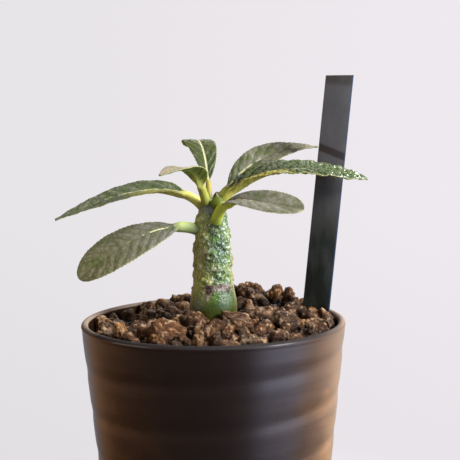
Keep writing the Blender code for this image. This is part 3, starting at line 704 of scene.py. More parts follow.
def scatter_tree():
    """Sets a stone on each point, turned and sized by the point's own values, then roughens it."""
    tree = bpy.data.node_groups.new("loose_grains", "GeometryNodeTree")
    sockets = {}
    for name, kind in (("Geometry", "Geometry"), ("Stones", "Collection"), ("Finish", "Material"),
                       ("Roughness height", "Float"), ("Roughness size", "Float")):
        sockets[name] = tree.interface.new_socket(name, in_out="INPUT", socket_type="NodeSocket" + kind)
    tree.interface.new_socket("Geometry", in_out="OUTPUT", socket_type="NodeSocketGeometry")

    def step(kind, feeds=(), **settings):
        return add_node(tree, kind, feeds, **settings).outputs[0]

    def maths(operation, first, second):
        return step("ShaderNodeMath", {0: first, 1: second}, operation=operation)

    own = {key: step("GeometryNodeInputNamedAttribute", {"Name": key}, data_type=kind)
           for key, kind in GRAIN_VALUES}
    entry = tree.nodes.new("NodeGroupInput").outputs
    stones = step("GeometryNodeCollectionInfo",
                  {"Collection": entry["Stones"], "Separate Children": True, "Reset Children": True})
    turn = step("FunctionNodeEulerToRotation", {0: own["turn"]})
    placed = step("GeometryNodeInstanceOnPoints",
                  {"Points": entry["Geometry"], "Instance": stones, "Pick Instance": True,
                   "Instance Index": own["shape"], "Rotation": turn, "Scale": own["size"]})
    real = step("GeometryNodeRealizeInstances", {"Geometry": placed})
    apart = step("ShaderNodeVectorMath", {0: step("GeometryNodeInputPosition"), 1: own["tone"]},
                 operation="ADD")
    rough = step("ShaderNodeTexNoise",
                 {"Vector": apart, "Scale": maths("DIVIDE", 1.0, entry["Roughness size"]), "Detail": 2.0})
    lift = maths("MULTIPLY", maths("SUBTRACT", rough, 0.5), entry["Roughness height"])
    along = step("ShaderNodeVectorMath", {0: step("GeometryNodeInputNormal"), "Scale": lift},
                 operation="SCALE")
    moved = step("GeometryNodeSetPosition", {"Geometry": real, "Offset": along})
    kept = step("GeometryNodeStoreNamedAttribute", {"Geometry": moved, "Name": "grit", "Value": rough},
                data_type="FLOAT", domain="POINT")
    coat = step("GeometryNodeSetMaterial", {"Geometry": kept, "Material": entry["Finish"]})
    add_node(tree, "NodeGroupOutput", {"Geometry": coat})
    return tree, sockets


def scattered(name, rows, stones, material, roughness):
    """Runs the scatter tree over rows of (middle, turn, size, shape, tone), as a piece of the soil."""
    mesh = new_mesh(name, [middle for middle, *_ in rows])
    for (key, kind), values in zip(GRAIN_VALUES, zip(*rows)):
        store(mesh, key, values, kind)
    obj = linked(name, mesh)
    modifier = obj.modifiers.new("grains", "NODES")
    modifier.node_group, sockets = scatter_tree()
    for key, value in (("Stones", stones), ("Finish", material), ("Roughness height", roughness[0]),
                       ("Roughness size", roughness[1])):
        modifier[sockets[key].identifier] = value
    piece = evaluated(obj, name, material)
    make_room(piece.data)
    settle(piece, "clay_grains", "soil")


def stem_radius(height):
    """The stem's radius at a height above the rim plane."""
    heights, radii = zip(*reversed(STEM_PROFILE))
    return np.interp(height, heights, radii)


def point_vectors(data, field, count):
    values = np.empty(count * 3, np.float32)
    data.foreach_get(field, values)
    return values.reshape(-1, 3)


def make_room(mesh):
    """Presses the grains clear of the pot's wall, the stem and the tag, and notes how high each is."""
    count = len(mesh.vertices)
    points = point_vectors(mesh.vertices, "co", count).astype(float)
    away = np.hypot(points[:, 0], points[:, 1])
    wall = inner_radius(np.minimum(points[:, 2], POT_HEIGHT)) - CLEARANCE
    stem = stem_radius(points[:, 2] - POT_HEIGHT) + CLEARANCE
    wanted = np.clip(away, stem, wall)
    points[:, :2] *= (wanted / np.maximum(away, 1e-6))[:, None]
    inverse = np.array(tag_matrix().inverted())
    local = points @ inverse[:3, :3].T + inverse[:3, 3]
    half = TAG_THICKNESS / 2 + CLEARANCE / 2
    inside = (np.abs(local[:, 2]) < half) & (np.abs(local[:, 0]) < TAG_WIDTH / 2 + CLEARANCE)
    local[inside, 2] = np.where(local[inside, 2] < 0, -half, half)
    matrix = np.array(tag_matrix())
    points[inside] = local[inside] @ matrix[:3, :3].T + matrix[:3, 3]
    mesh.vertices.foreach_set("co", points.astype(np.float32).ravel())
    middle = point_vectors(mesh.attributes["middle"].data, "vector", count)
    # How high each point stands: the material paints shade on the low parts and light on the top
    own = 0.5 + (points[:, 2] - middle[:, 2]) / OWN_HEIGHT
    raised = (points[:, 2] - soil_height(points[:, 0], points[:, 1]) + BED_START) / BED_HEIGHT
    store(mesh, "raised", np.clip(np.minimum(raised, own), 0, 1).astype(np.float32))
    mesh.update()


def fill_rings():
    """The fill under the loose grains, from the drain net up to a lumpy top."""
    floor_top = FOOT_HEIGHT + FLOOR
    bottom = floor_top + CLEARANCE
    net_top = bottom + NET_THICKNESS + CLEARANCE
    angle = np.linspace(0, math.tau, 120, endpoint=False)
    edge = inner_radius(POT_HEIGHT + SOIL_LEVEL) - CLEARANCE
    profile = [(0.001, net_top), (NET_ROOM, net_top), (NET_ROOM, bottom),
               (inner_radius(floor_top) - FLOOR_CORNER - CLEARANCE, bottom),
               (inner_radius(floor_top + FLOOR_CORNER) - 1.5 * CLEARANCE, floor_top + FLOOR_CORNER)]
    profile += [(inner_radius(height) - CLEARANCE, height) for height in (0.03, 0.05, 0.07, 0.079)]
    rings = [[(r * math.cos(a), r * math.sin(a), z) for a in angle] for r, z in profile]
    for share in np.linspace(1.0, 0.02, 56):
        ring = []
        for a in angle:
            x = edge * share * math.cos(a)
            y = edge * share * math.sin(a)
            lump = FILL_LUMP * noise.noise(Vector((x, y, 0.3)) / FILL_LUMP_SIZE)
            ring.append((x, y, float(soil_height(x, y)) - FILL_DROP + lump))
        rings.append(ring)
    return np.array(rings)


def spot(look, nearest, reach):
    """A random place on the soil: (x, y, how far it is from the middle)."""
    angle = look.uniform(0, math.tau)
    away = look.uniform(nearest, 1.0) ** 0.5 * reach
    return away * math.cos(angle), away * math.sin(angle), away


def tumbled(look, x, y, size, stretch, lift, shapes):
    """One loose lump: its middle, turn, size, shape and tone."""
    turn = [look.uniform(0, math.tau) for _ in range(3)]
    sizes = [size * look.uniform(*stretch) for _ in range(3)]
    height = float(soil_height(x, y)) + look.uniform(*lift)
    return (x, y, height), turn, sizes, look.randrange(shapes), look.random()


def lump_shapes(name, count, look, subdivisions, pitted):
    shapes = bpy.data.collections.new(name)
    for index in range(count):
        shapes.objects.link(stone("%s_%02d" % (name, index), look, subdivisions, pitted))
    return shapes


def build_grains(material):
    draw = random.Random(GRAIN_SEED)
    look = random.Random(GRAIN_SEED + 1)
    stones = lump_shapes("stone", GRAIN_SHAPES, look, 4, True)
    crumbs = lump_shapes("crumb", CRUMB_SHAPES, look, 2, False)
    rows = []
    for place in grain_places(draw):
        sizes = [GRAIN_FILL * GRAIN_RADIUS * draw.uniform(*GRAIN_STRETCH) for _ in range(3)]
        # These draws only keep the list in step with the one for the solids
        for _ in range(GRAIN_KNOCK_COUNT):
            draw.uniform(*GRAIN_KNOCKS)
        axis = any_way(draw)
        turn = Matrix.Rotation(draw.uniform(0, math.tau), 4, axis).to_euler()
        size = look.uniform(*GRAIN_KNOCKS)
        rows.append((place, tuple(turn), [size * value for value in sizes], look.randrange(GRAIN_SHAPES),
                     look.random()))
    for x, y, height, size in TOP_GRAINS:
        turn = [look.uniform(0, 0.5), look.uniform(0, 0.5), look.uniform(-0.5, 0.5)]
        place = (x / 1000, y / 1000, height / 1000 + POT_HEIGHT)
        rows.append((place, turn, [size / 1000] * 3, look.randrange(GRAIN_SHAPES), look.random()))
    scattered("clay_grains", rows, stones, material, GRAIN_ROUGHNESS)
    rows = []
    for _ in range(SMALL_GRAIN_TRIES):
        x, y, away = spot(look, 0.0, inner_radius(POT_HEIGHT) - SMALL_GRAIN_SIZE[1])
        near = min([math.hypot(x - p[0], y - p[1]) for p, *_ in rows], default=1.0)
        if away < ROOT_NECK + SMALL_GRAIN_SIZE[0] or near < SMALL_GRAIN_SPACING:
            continue
        size = look.uniform(*SMALL_GRAIN_SIZE)
        rows.append(tumbled(look, x, y, size, (0.8, 1.15), SMALL_GRAIN_LIFT, GRAIN_SHAPES))
        if len(rows) == SMALL_GRAIN_COUNT:
            break
    scattered("small_grains", rows, stones, material, SMALL_GRAIN_ROUGHNESS)
    rows = []
    while len(rows) < CRUMB_COUNT:
        x, y, away = spot(look, 0.2, inner_radius(POT_HEIGHT) - CRUMB_EDGE)
        size = look.uniform(*CRUMB_SIZE)
        if away >= ROOT_NECK + size:
            rows.append(tumbled(look, x, y, size, (0.7, 1.2), CRUMB_LIFT, CRUMB_SHAPES))
    scattered("clay_crumbs", rows, crumbs, material, CRUMB_ROUGHNESS)
    settle(skin("packed_fill", fill_rings(), {}, material), "clay_grains", "soil")


def grain_material():
    """Hard-baked clay: brown, orange-brown or greyish lumps, rough all over, with painted light on their tops
    and bumps and painted shade in their pits, their gaps and the middle of the bed.
    """
    mix = new_recipe("baked_clay")
    grit = mix.attribute("grit")
    raised = mix.attribute("raised")
    patches = mix.noise(0.0030, detail=6.0, rough=0.72)
    pores = mix.noise(0.00062, detail=4.0, rough=0.65)
    speck = mix.noise(0.00040, detail=4.0, rough=0.75)
    # Painted light on the upper parts of the grains, in patches
    painted_top_light = mix.times(mix.ramp(raised, (0.60, 0.25), (1.0, 1.0)),
                      mix.ramp(patches, (0.52, 0.0), (0.64, 0.85)))
    across = mix.plus(mix.times(mix.split()[0], 0.5 / RIM_RADIUS), 0.5)
    base = mix.ramp(mix.attribute("tone"), (0.0, (92, 57, 26)), (0.20, (124, 78, 36)), (0.38, (62, 39, 20)),
                    (0.55, (112, 69, 29)), (0.70, (80, 56, 36)), (0.85, (98, 60, 26)), (1.0, (160, 106, 44)))
    base = mix.layers(
        base,
        # Painted light on the grain tops
        (painted_top_light, (250, 208, 162)),
        (patches, (0.38, 0.65), (0.48, 0.0), (54, 28, 14)),
        # Painted shade in the hollows of the rough surface, and painted highlight on its bumps
        (grit, (0.36, 0.80), (0.50, 0.0), (44, 21, 9)),
        (grit, (0.57, 0.0), (0.68, 0.65), (244, 198, 152)),
        (pores, (0.38, 0.70), (0.46, 0.0), (40, 19, 8)),
        # Painted shade in the gaps and on the lower half of each grain
        (raised, (0.24, 0.96), (0.76, 0.0), (18, 7, 3)),
        # Painted shade: darker in the middle of the bed
        (across, (0.10, 0.0), (0.30, 0.22), (0.52, 0.34), (0.72, 0.0), (40, 20, 8)))
    height = mix.plus(mix.times(speck, 0.5), mix.math("MINIMUM", pores, 0.55))
    return mix.finish(base_color=base, roughness=mix.ramp(patches, (0.40, 0.36), (0.6, 0.56)),
                      specular_ior_level=0.32, normal=mix.bump(height, 0.00085))


# Stem

def wart_field(points):
    """Two sizes of round warts over the skin: how high each point stands, 0 to 1."""
    fields = np.empty((2, len(points)))
    for index, point in enumerate(points):
        place = Vector(point)
        fields[0, index] = noise.voronoi(place / WART_SIZE)[0][0]
        fields[1, index] = noise.voronoi(Vector((place.x, place.y, place.z * 0.7)) / PAPILLA_SIZE)[0][0]
    return np.clip(1.0 - fields[0] / 0.62, 0, 1), np.clip(1.0 - fields[1] / 0.60, 0, 1)


def build_stem(material):
    height = np.concatenate([
        np.linspace(STEM_PROFILE[-1][0], STEM_SHOWS_FROM, ROOT_ROWS, endpoint=False),
        np.linspace(STEM_SHOWS_FROM, STEM_PROFILE[0][0], STEM_ROWS)])[:, None]
    angle = np.linspace(-math.pi, math.pi, STEM_STEPS, endpoint=False)[None, :]
    radius = stem_radius(height)
    core = rounded(radius, angle, height)
    scars = 0.0
    pits = 0.0
    for index in range(SCAR_COUNT):
        scar_height = SCAR_LOW + (SCAR_HIGH - SCAR_LOW) * (index + 0.5) / SCAR_COUNT
        turn = (angle - index * SCAR_TURN + math.pi) % math.tau - math.pi
        away = np.hypot(turn * radius * 0.8, (height - scar_height) * 1.2) / SCAR_RADIUS
        scars = scars + np.exp(-((away - 0.7) ** 2) / 0.22)
        pits = pits + np.exp(-(away / 0.33) ** 2)
    warts, papillae = (field.reshape(core.shape[:2]) for field in wart_field(core.reshape(-1, 3)))
    fade = smooth((height - SCARS_START) / 0.004) * smooth((CROWN - height) / 0.002)
    rough = smooth((height - WARTS_START) / 0.0050) * smooth((CROWN - height) / 0.003)
    marks = dict.fromkeys(("dark", "faded", "pale", "fresh", "frost", "ashen", "knob"), 0.0)
    front = np.arctan2(np.sin(angle + math.pi / 2), np.cos(angle + math.pi / 2))
    for kind, degrees, level, half_width, half_height in MARKS:
        across = (front - math.radians(degrees)) * radius / half_width
        up = (height - level) / half_height
        marks[kind] = marks[kind] + np.exp(-(across ** 2 + up ** 2) ** 1.6)
    relief = (SCAR_HEIGHT * scars - RELIEF_BASE) * fade
    relief = relief + ((WART_HEIGHT * warts ** 0.8 + PAPILLA_HEIGHT * papillae ** 0.8 - WART_BASE)
                       * (0.15 + 0.85 * rough))
    relief = relief - PIT_DEPTH * pits * fade
    for kind, rise in (("dark", -DARK_DEPTH), ("pale", PALE_HEIGHT), ("knob", KNOB_HEIGHT)):
        relief = relief + rise * np.clip(marks[kind], 0, 1)
    for leaf in LEAVES:
        base = np.array(leaf.midrib[0])
        out = base + (np.array(leaf.midrib[1]) - base) * 0.12
        near = np.linalg.norm(core - out, axis=-1)
        relief = relief + CUSHION_HEIGHT * np.exp(-(near / CUSHION_SIZE) ** 2)
    rings = rounded(radius + relief, angle, height + POT_HEIGHT)
    attributes = {"scar": scars * fade, "pit": pits * fade, "wart": warts, "papilla": papillae,
                  "level": height / STEM_SPAN, "side": np.cos(angle), **marks}
    settle(skin("warty_stem", rings, attributes, material), "stem", "caudex")


def stem_material():
    """Green skin under a crust of mint-white specks, with scars; painted fill light makes the left side
    yellower, painted rim light edges both sides, and a painted sheen sits low on the right.
    """
    mix = new_recipe("warty_green_skin")
    level = mix.attribute("level")
    side = mix.attribute("side")
    cloud = mix.noise(0.0034, detail=4.0, rough=0.6, stretch=(1.0, 1.0, 0.7))
    streak = mix.noise(0.00055, detail=4.0, rough=0.75, stretch=(1.0, 1.0, 0.36))
    tear = mix.noise(0.0009, detail=5.0, rough=0.8, stretch=(1.6, 1.6, 0.8))

    def torn(kind):
        """The mark with ragged edges."""
        return mix.times(mix.plus(mix.attribute(kind), mix.times(tear, 2.4)), 0.4)

    dark = torn("dark")
    skin_tone = mix.ramp(cloud, (0.30, (44, 70, 22)), (0.50, (72, 98, 34)), (0.68, (124, 136, 56)))
    # Painted fill light: the left side, less so by the foot, is painted paler and yellower
    shade = mix.ramp(mix.plus(mix.times(side, 0.5), mix.times(cloud, 0.6)), (0.0, 0.9), (0.30, 0.0))
    crust = mix.plus(mix.times(mix.attribute("papilla"), 0.8), mix.times(mix.attribute("wart"), 0.35))
    crust = mix.times(mix.ramp(crust, (0.18, 0.0), (0.50, 0.92)), mix.ramp(streak, (0.44, 0.06), (0.58, 1.0)))
    crust = mix.times(crust, mix.ramp(level, (0.14, 0.0), (0.26, 0.45), (0.42, 0.75), (0.56, 1.0),
                                      (0.76, 1.0), (0.88, 0.35)))
    # A painted sheen low on the right, speckled like the crust
    frost = mix.times(mix.attribute("frost"), mix.ramp(streak, (0.42, 0.0), (0.62, 0.26)))
    crust = mix.times(mix.math("MAXIMUM", crust, frost), mix.ramp(shade, (0.0, 1.0), (1.0, 0.85)))
    # Painted rim light on both sides of the stem, strongest over its middle heights
    rim = mix.times(mix.ramp(mix.math("ABSOLUTE", side), (0.86, 0.0), (0.99, 0.45)),
                    mix.ramp(level, (0.10, 0.25), (0.25, 1.0), (0.55, 1.0), (0.70, 0.0)))
    tint = mix.layers(
        skin_tone,
        (mix.times(shade, mix.ramp(level, (0.06, 0.45), (0.28, 1.0))), (200, 200, 98)),
        (level, (0.78, 0.0), (0.90, 0.7), (1.0, 0.9), (84, 92, 74)),
        (streak, (0.40, 0.65), (0.50, 0.0), (38, 58, 30)),
        (crust, (222, 240, 230)),
        (mix.attribute("scar"), (0.85, 0.0), (1.0, 0.30), (158, 160, 100)),
        (mix.attribute("pit"), (0.5, 0.0), (1.0, 0.45), (92, 74, 44)),
        (mix.attribute("fresh"), (0.2, 0.0), (0.9, 0.6), (96, 140, 30)),
        (level, (0.12, 0.85), (0.28, 0.0), (46, 66, 10)),
        (level, (0.03, 0.8), (0.14, 0.0), (68, 64, 20)),
        (mix.times(mix.attribute("ashen"), 0.8), (146, 156, 162)),
        (torn("pale"), (0.68, 0.0), (0.86, 0.70), (212, 194, 166)),
        (torn("faded"), (0.64, 0.0), (0.80, 0.75), (122, 102, 94)),
        (dark, (0.64, 0.0), (0.76, 0.60), (150, 124, 104)),
        (dark, (0.74, 0.0), (0.84, 0.92), (58, 38, 40)),
        (mix.attribute("knob"), (0.2, 0.0), (0.8, 0.8), (158, 148, 88)),
        (rim, (190, 166, 110)))
    return mix.finish(base_color=tint, roughness=mix.ramp(level, (0.10, 0.32), (0.30, 0.50), (1.0, 0.6)),
                      specular_ior_level=0.5, subsurface_weight=0.08, subsurface_radius=(0.8, 1.0, 0.3),
                      subsurface_scale=0.001, normal=mix.bump(streak, 0.00012))


# Leaves

def midrib_curve(points, share):
    """Places on a Bezier curve and the directions there."""
    a, b, c, d = (np.array(p) for p in points)
    t = np.asarray(share)[:, None]
    s = 1.0 - t
    place = a * s ** 3 + b * (3 * s * s * t) + c * (3 * s * t * t) + d * t ** 3
    return place, unit((b - a) * (s * s) + (c - b) * (2 * s * t) + (d - c) * (t * t))


def leaf_relief(leaf, seed, along, across, lateral, distance):
    """Pads between sunken side veins, with small pillows inside each: (relief, how near a vein)."""
    pitch = (distance[-1, 0] - leaf.petiole) / leaf.quilts
    wobble = np.empty(along.shape)
    gap = np.empty(along.shape)
    for index in np.ndindex(along.shape):
        place = Vector((distance[index[0], 0], lateral[index], seed))
        wobble[index] = noise.noise(place / WOBBLE_SIZE)
        near = noise.voronoi(Vector((place.x / PILLOW_SIZE, place.y / PILLOW_SIZE, seed)))[0]
        gap[index] = near[1] - near[0]
    reach = np.abs(across)
    pads = leaf.quilts * along - VEIN_SWEEP * reach + VEIN_WOBBLE * wobble
    from_vein = np.abs(pads - np.round(pads)) * pitch
    vein = np.exp(-(from_vein / VEIN_WIDTH) ** 2) * smooth((1.0 - reach) / 0.2)
    swell = np.sin(math.pi * pads) ** 2 * np.sin(0.8 * math.pi * reach)
    tilt = np.where(across > 0, 1.0, 2.2)
    ripple = EDGE_RIPPLE * reach ** 2 * np.sin(math.pi * pads + tilt)
    net = smooth(gap / 0.34)
    inside = smooth(reach / 0.10) * smooth((1.0 - reach) / 0.08)
    fade = smooth(along / 0.12) * smooth((1.0 - along) / 0.1)
    relief = (0.05 + 0.95 * leaf.puffed) * (QUILT_HEIGHT * swell + ripple)
    relief = relief + leaf.puffed * (PILLOW_HEIGHT * (net - 0.5) - VEIN_DEPTH * vein) * inside
    furrow = np.maximum(vein, 0.65 * (1.0 - smooth(gap / 0.20))) * inside * smooth(along / 0.05)
    return relief * fade, furrow


def build_leaf(leaf, seed, material):
    line = np.linspace(0, 1, 600)
    trace = midrib_curve(leaf.midrib, line)[0]
    run = np.concatenate([[0.0], np.cumsum(np.linalg.norm(np.diff(trace, axis=0), axis=1))])
    total = run[-1]
    blade_length = total - leaf.petiole
    rows = leaf.quilts * LEAF_ROWS_PER_QUILT
    distance = np.concatenate([np.linspace(0.0, leaf.petiole, PETIOLE_ROWS, endpoint=False),
                               leaf.petiole + blade_length * np.linspace(0, 1, rows + 1)])[:, None]
    place, tangent = midrib_curve(leaf.midrib, np.interp(distance[:, 0], run, line))
    centre = place[:, None, :] + np.array((0, 0, POT_HEIGHT))
    heading = np.array(leaf.midrib[3]) - np.array(leaf.midrib[0])
    side = np.array((-heading[1], heading[0], 0.0))
    side = unit(side - tangent * (tangent @ side)[:, None])
    normal = np.cross(tangent, side)[:, None, :]
    side = side[:, None, :]
    across = np.sin(np.linspace(-math.pi / 2, math.pi / 2, LEAF_COLUMNS))[None, :]
    along = (distance - leaf.petiole) / blade_length + 0.0 * across
    roll, fold = (np.radians(near + (far - near) * distance / total)
                  for near, far in (leaf.roll, leaf.fold))
    lean = roll + fold * np.sign(across)
    open_out = smooth(along / 0.10 + 0.25)[..., None]
    inner = np.clip(along, 0.0, 1.0)
    widest = leaf.fill / (leaf.fill + leaf.taper)
    peak = widest ** leaf.fill * (1.0 - widest) ** leaf.taper
    width = np.maximum(leaf.half_width * inner ** leaf.fill * (1 - inner) ** leaf.taper / peak,
                       TIP_HALF_WIDTH)
    teeth = -np.cos(math.tau * along * leaf.quilts * NOTCHES_PER_QUILT)
    notch = 1.0 + NOTCH_DEPTH * teeth * smooth((np.abs(across) - 0.8) / 0.2) * open_out[..., 0]
    lateral = width * across * notch
    relief, furrow = leaf_relief(leaf, seed, along, across + 0.0 * along, lateral, distance)

    def turned(angle, out, up):
        return out * np.cos(angle)[..., None] + up * np.sin(angle)[..., None]

    flat = turned(roll, side, normal)
    lift = turned(roll, normal, -side)
    stalk = (leaf.stalk + STALK_FLARE * np.exp(-distance / STALK_FLARE_LENGTH)) * (1.0 - 0.55 * smooth(along))
    half = BLADE_THICKNESS / 2 * np.sqrt(np.clip(1.0 - np.abs(across) ** 8, 0, 1))
    rib = leaf.stalk * (0.22 + 0.78 * (1.0 - smooth(inner / 0.45)))
    keel = 1.25 * rib * np.exp(-(lateral / (0.90 * rib + 0.0001)) ** 2) * (1.0 - 0.75 * inner)
    dip = MIDRIB_DEPTH * np.exp(-(lateral / MIDRIB_WIDTH) ** 2) * smooth(inner / 0.05)
    middle = centre + turned(lean, side, normal) * lateral[..., None] + lift * relief[..., None]
    below = half + keel * np.clip(1.0 - np.abs(across), 0, 1) + VEIN_RISE_UNDER * leaf.puffed * furrow
    round_side = centre + flat * (stalk * across)[..., None]
    round_lift = lift * (stalk * np.sqrt(np.clip(1.0 - across ** 2, 0, 1)))[..., None]
    top = (round_side + round_lift) * (1 - open_out) + (middle + lift * (half - dip)[..., None]) * open_out
    bottom = (round_side - round_lift) * (1 - open_out) + (middle - lift * below[..., None]) * open_out
    rings = np.concatenate([top, bottom[:, -2:0:-1]], axis=1)

    def both(values):
        """The same values on the upper face and, on the way back, on the lower one."""
        values = np.broadcast_to(values, along.shape)
        return np.concatenate([values, values[:, -2:0:-1]], axis=1)

    attributes = {"along": both(along), "reach": both(np.abs(across)), "furrow": both(furrow),
                  "hand": both(across), "midrib": both(np.exp(-(lateral / MIDRIB_PALE_WIDTH) ** 2)),
                  "under": np.arange(rings.shape[1])[None, :] >= LEAF_COLUMNS,
                  "from_stem": both(distance / 0.01)}
    settle(skin("quilted_" + leaf.name, rings, attributes, material), "leaf", leaf.name)


def leaf_material(name, look):
    """Quilted leaf: painted shade in its furrows, paler patches of painted grey sheen, a pale midrib, and a
    yellow-green stalk.
    """
    mix = new_recipe(name + "_skin")
    along = mix.attribute("along")
    furrow = mix.attribute("furrow")
    under = mix.attribute("under")
    midrib = mix.attribute("midrib")
    cloud = mix.noise(0.0032, detail=4.0, rough=0.6)
    fine = mix.noise(0.0004, rough=0.6)
    streak = mix.times(midrib, mix.ramp(mix.noise(0.0024, detail=1.0), (0.36, look.streak), (0.52, 1.0)))
    streak = mix.times(streak, mix.ramp(along, (0.30, 1.0), (0.75, look.streak)))
    face = mix.layers(
        look.near,
        (along, (0.10, 0.0), (0.85, 1.0), look.far),
        # Painted grey sheen in patches
        (cloud, (0.36, 0.0), (0.66, look.dust), (170, 168, 150)),
        (cloud, (0.32, 0.55), (0.50, 0.0), (88, 106, 56)),
        # Painted shade in the furrows
        (furrow, (0.15, 0.0), (0.8, look.depth), (38, 46, 22)),
        (streak, (0.45, 0.0), (0.85, 0.75), (228, 222, 172)))
    # A painted glow of light shining through one half of the blade by the stalk
    if look.lit:
        hand = mix.times(mix.attribute("hand"), math.copysign(1.0, look.lit))
        painted_through_light = mix.times(mix.ramp(hand, (0.10, 0.0), (0.35, abs(look.lit))),
                         mix.ramp(along, (0.28, 1.0), (0.48, 0.0)))
        face = mix.layers(face, (painted_through_light, look.lower))
    rib = mix.times(mix.ramp(midrib, (0.05, 0.0), (0.45, 1.0)), mix.ramp(along, (0.1, 1.0), (0.7, 0.25)))
    back = mix.layers(
        look.lower,
        (furrow, (0.2, 0.0), (0.8, 0.15), (178, 180, 118)),
        (rib, look.stalk),
        (mix.times(mix.ramp(along, (0.05, 1.0), (0.42, 0.0)), 0.6), look.stalk))
    joint = mix.plus(mix.attribute("from_stem"), mix.times(cloud, 0.12))
    tint = mix.layers(
        face,
        (under, back),
        # Painted light along the blade's edges, where it shines through
        (mix.attribute("reach"), (0.965, 0.0), (0.990, 0.55), (188, 182, 126)),
        (mix.plus(along, mix.times(under, -0.10)), (0.0, 1.0), (0.05, 0.0), look.stalk),
        (joint, (0.08, 0.7), (0.34, 0.0), (92, 108, 40)))
    facing = mix.node("ShaderNodeLayerWeight").outputs["Facing"]
    return mix.finish(base_color=tint, roughness=mix.ramp(facing, (0.60, look.gloss), (0.90, 0.9)),
                      specular_ior_level=0.2,
                      coat_weight=mix.ramp(along, (0.30, 0.3 * look.shine), (0.70, look.shine)),
                      coat_roughness=0.16, sheen_weight=0.15 * look.dust, sheen_roughness=0.4,
                      subsurface_weight=0.2, subsurface_radius=(0.9, 1.0, 0.2), subsurface_scale=0.0014,
                      normal=mix.bump(fine, 0.00005, under=mix.bump(cloud, 0.00020)))


# Bud and tag

def build_bud(material):
    """A small pointed bud of folded scales that wrap round each other."""
    share = np.linspace(0, 1, 60)[:, None]
    angle = np.linspace(0, math.tau, 72, endpoint=False)[None, :]
    radius = BUD_RADIUS * np.sin(math.pi * (0.12 + 0.88 * (1 - share))) ** 0.7
    radius = np.where(share < 0.08, BUD_RADIUS * (0.6 + 3.0 * share), radius)
    wrap = (BUD_FOLDS * angle / math.tau + 0.9 * share) % 1.0
    fold = 1.0 + 0.16 * wrap ** 2 - 0.05
    lean_x = BUD_LEAN[0] + 0.10 * share ** 2
    x = radius * fold * np.cos(angle) + lean_x * share * BUD_LENGTH + BUD_BASE[0]
    y = radius * fold * np.sin(angle) + BUD_LEAN[1] * share * BUD_LENGTH + BUD_BASE[1]
    z = BUD_BASE[2] + POT_HEIGHT + share * BUD_LENGTH
    bud = skin("folded_bud", stacked(x, y, z), {"wrap": wrap, "level": share}, material)
    settle(bud, "bud", "crown_bud")


def build_scale(material):
    """The half-round scale that folds up in front of the bud, by the stalk of the right front leaf."""
    share = np.linspace(0.02, 0.98, 40)[:, None]
    angle = np.linspace(0, math.tau, 56, endpoint=False)[None, :]
    ring = np.sin(math.pi * share) ** 0.6
    cup = 0.25 * (np.cos(angle) ** 2) * ring
    x = SCALE_SIZE[0] * ring * np.cos(angle) + SCALE_PLACE[0]
    y = SCALE_SIZE[1] * (ring * np.sin(angle) + cup) + SCALE_PLACE[1]
    z = SCALE_SIZE[2] * (2 * share - 1) + SCALE_PLACE[2] + POT_HEIGHT
    # The pale band along the scale's top is a painted highlight
    attributes = {"wrap": 0.92 * smooth((share - 0.86) / 0.12), "level": 0.2 + 0.4 * share}
    settle(skin("cupped_scale", stacked(x, y, z), attributes, material), "bud")


def bud_material():
    mix = new_recipe("bud_skin")
    tint = mix.ramp(mix.attribute("level"), (0.0, (104, 116, 26)), (0.5, (88, 100, 14)), (1.0, (78, 58, 38)))
    # Pale where the folds wrap: on the bud the pale edges of its folds, on the cupped scale a painted
    # highlight
    tint = mix.layers(tint, (mix.attribute("wrap"), (0.86, 0.0), (0.97, 0.9), (226, 220, 186)))
    return mix.finish(base_color=tint, roughness=0.62, specular_ior_level=0.35,
                      normal=mix.bump(mix.noise(0.0004), 0.00008))


def tag_matrix():
    place = Matrix.Translation((TAG_AT_RIM[0], TAG_AT_RIM[1], POT_HEIGHT))
    return place @ Matrix.Rotation(TAG_LEAN, 4, "Y") @ Matrix.Rotation(math.pi / 2, 4, "X")


def build_tag(material):
    half = TAG_WIDTH / 2
    low = -TAG_DEPTH
    outline = ((-half, TAG_TOP - TAG_TOP_SLANT), (half, TAG_TOP), (half, low + TAG_POINT),
               (half * 0.25, low), (-half * 0.25, low), (-half, low + TAG_POINT))
    work = bmesh.new()
    front = [work.verts.new((x, y, TAG_THICKNESS / 2)) for x, y in outline]
    back = [work.verts.new((x, y, -TAG_THICKNESS / 2)) for x, y in outline]
    work.faces.new(front)
    work.faces.new(back[::-1])
    for index in range(len(outline)):
        after = (index + 1) % len(outline)
        work.faces.new((front[index], front[after], back[after], back[index]))
    bmesh.ops.recalc_face_normals(work, faces=work.faces)
    blank = linked("tag_blank", drawn_mesh("tag_blank", work))
    blank.matrix_world = tag_matrix()
    bevel = blank.modifiers.new("edges", "BEVEL")
    bevel.width = TAG_EDGE
    bevel.segments = 3
    bpy.context.view_layer.update()
    tag = evaluated(blank, "plant_tag", material)
    tag.data.set_sharp_from_angle(angle=math.radians(25))
    inverse = tag_matrix().inverted()
    for key, axis in (("sideways", 0), ("up", 1)):
        store(tag.data, key, [(inverse @ vert.co)[axis] for vert in tag.data.vertices])
    settle(tag, "tag", "label")


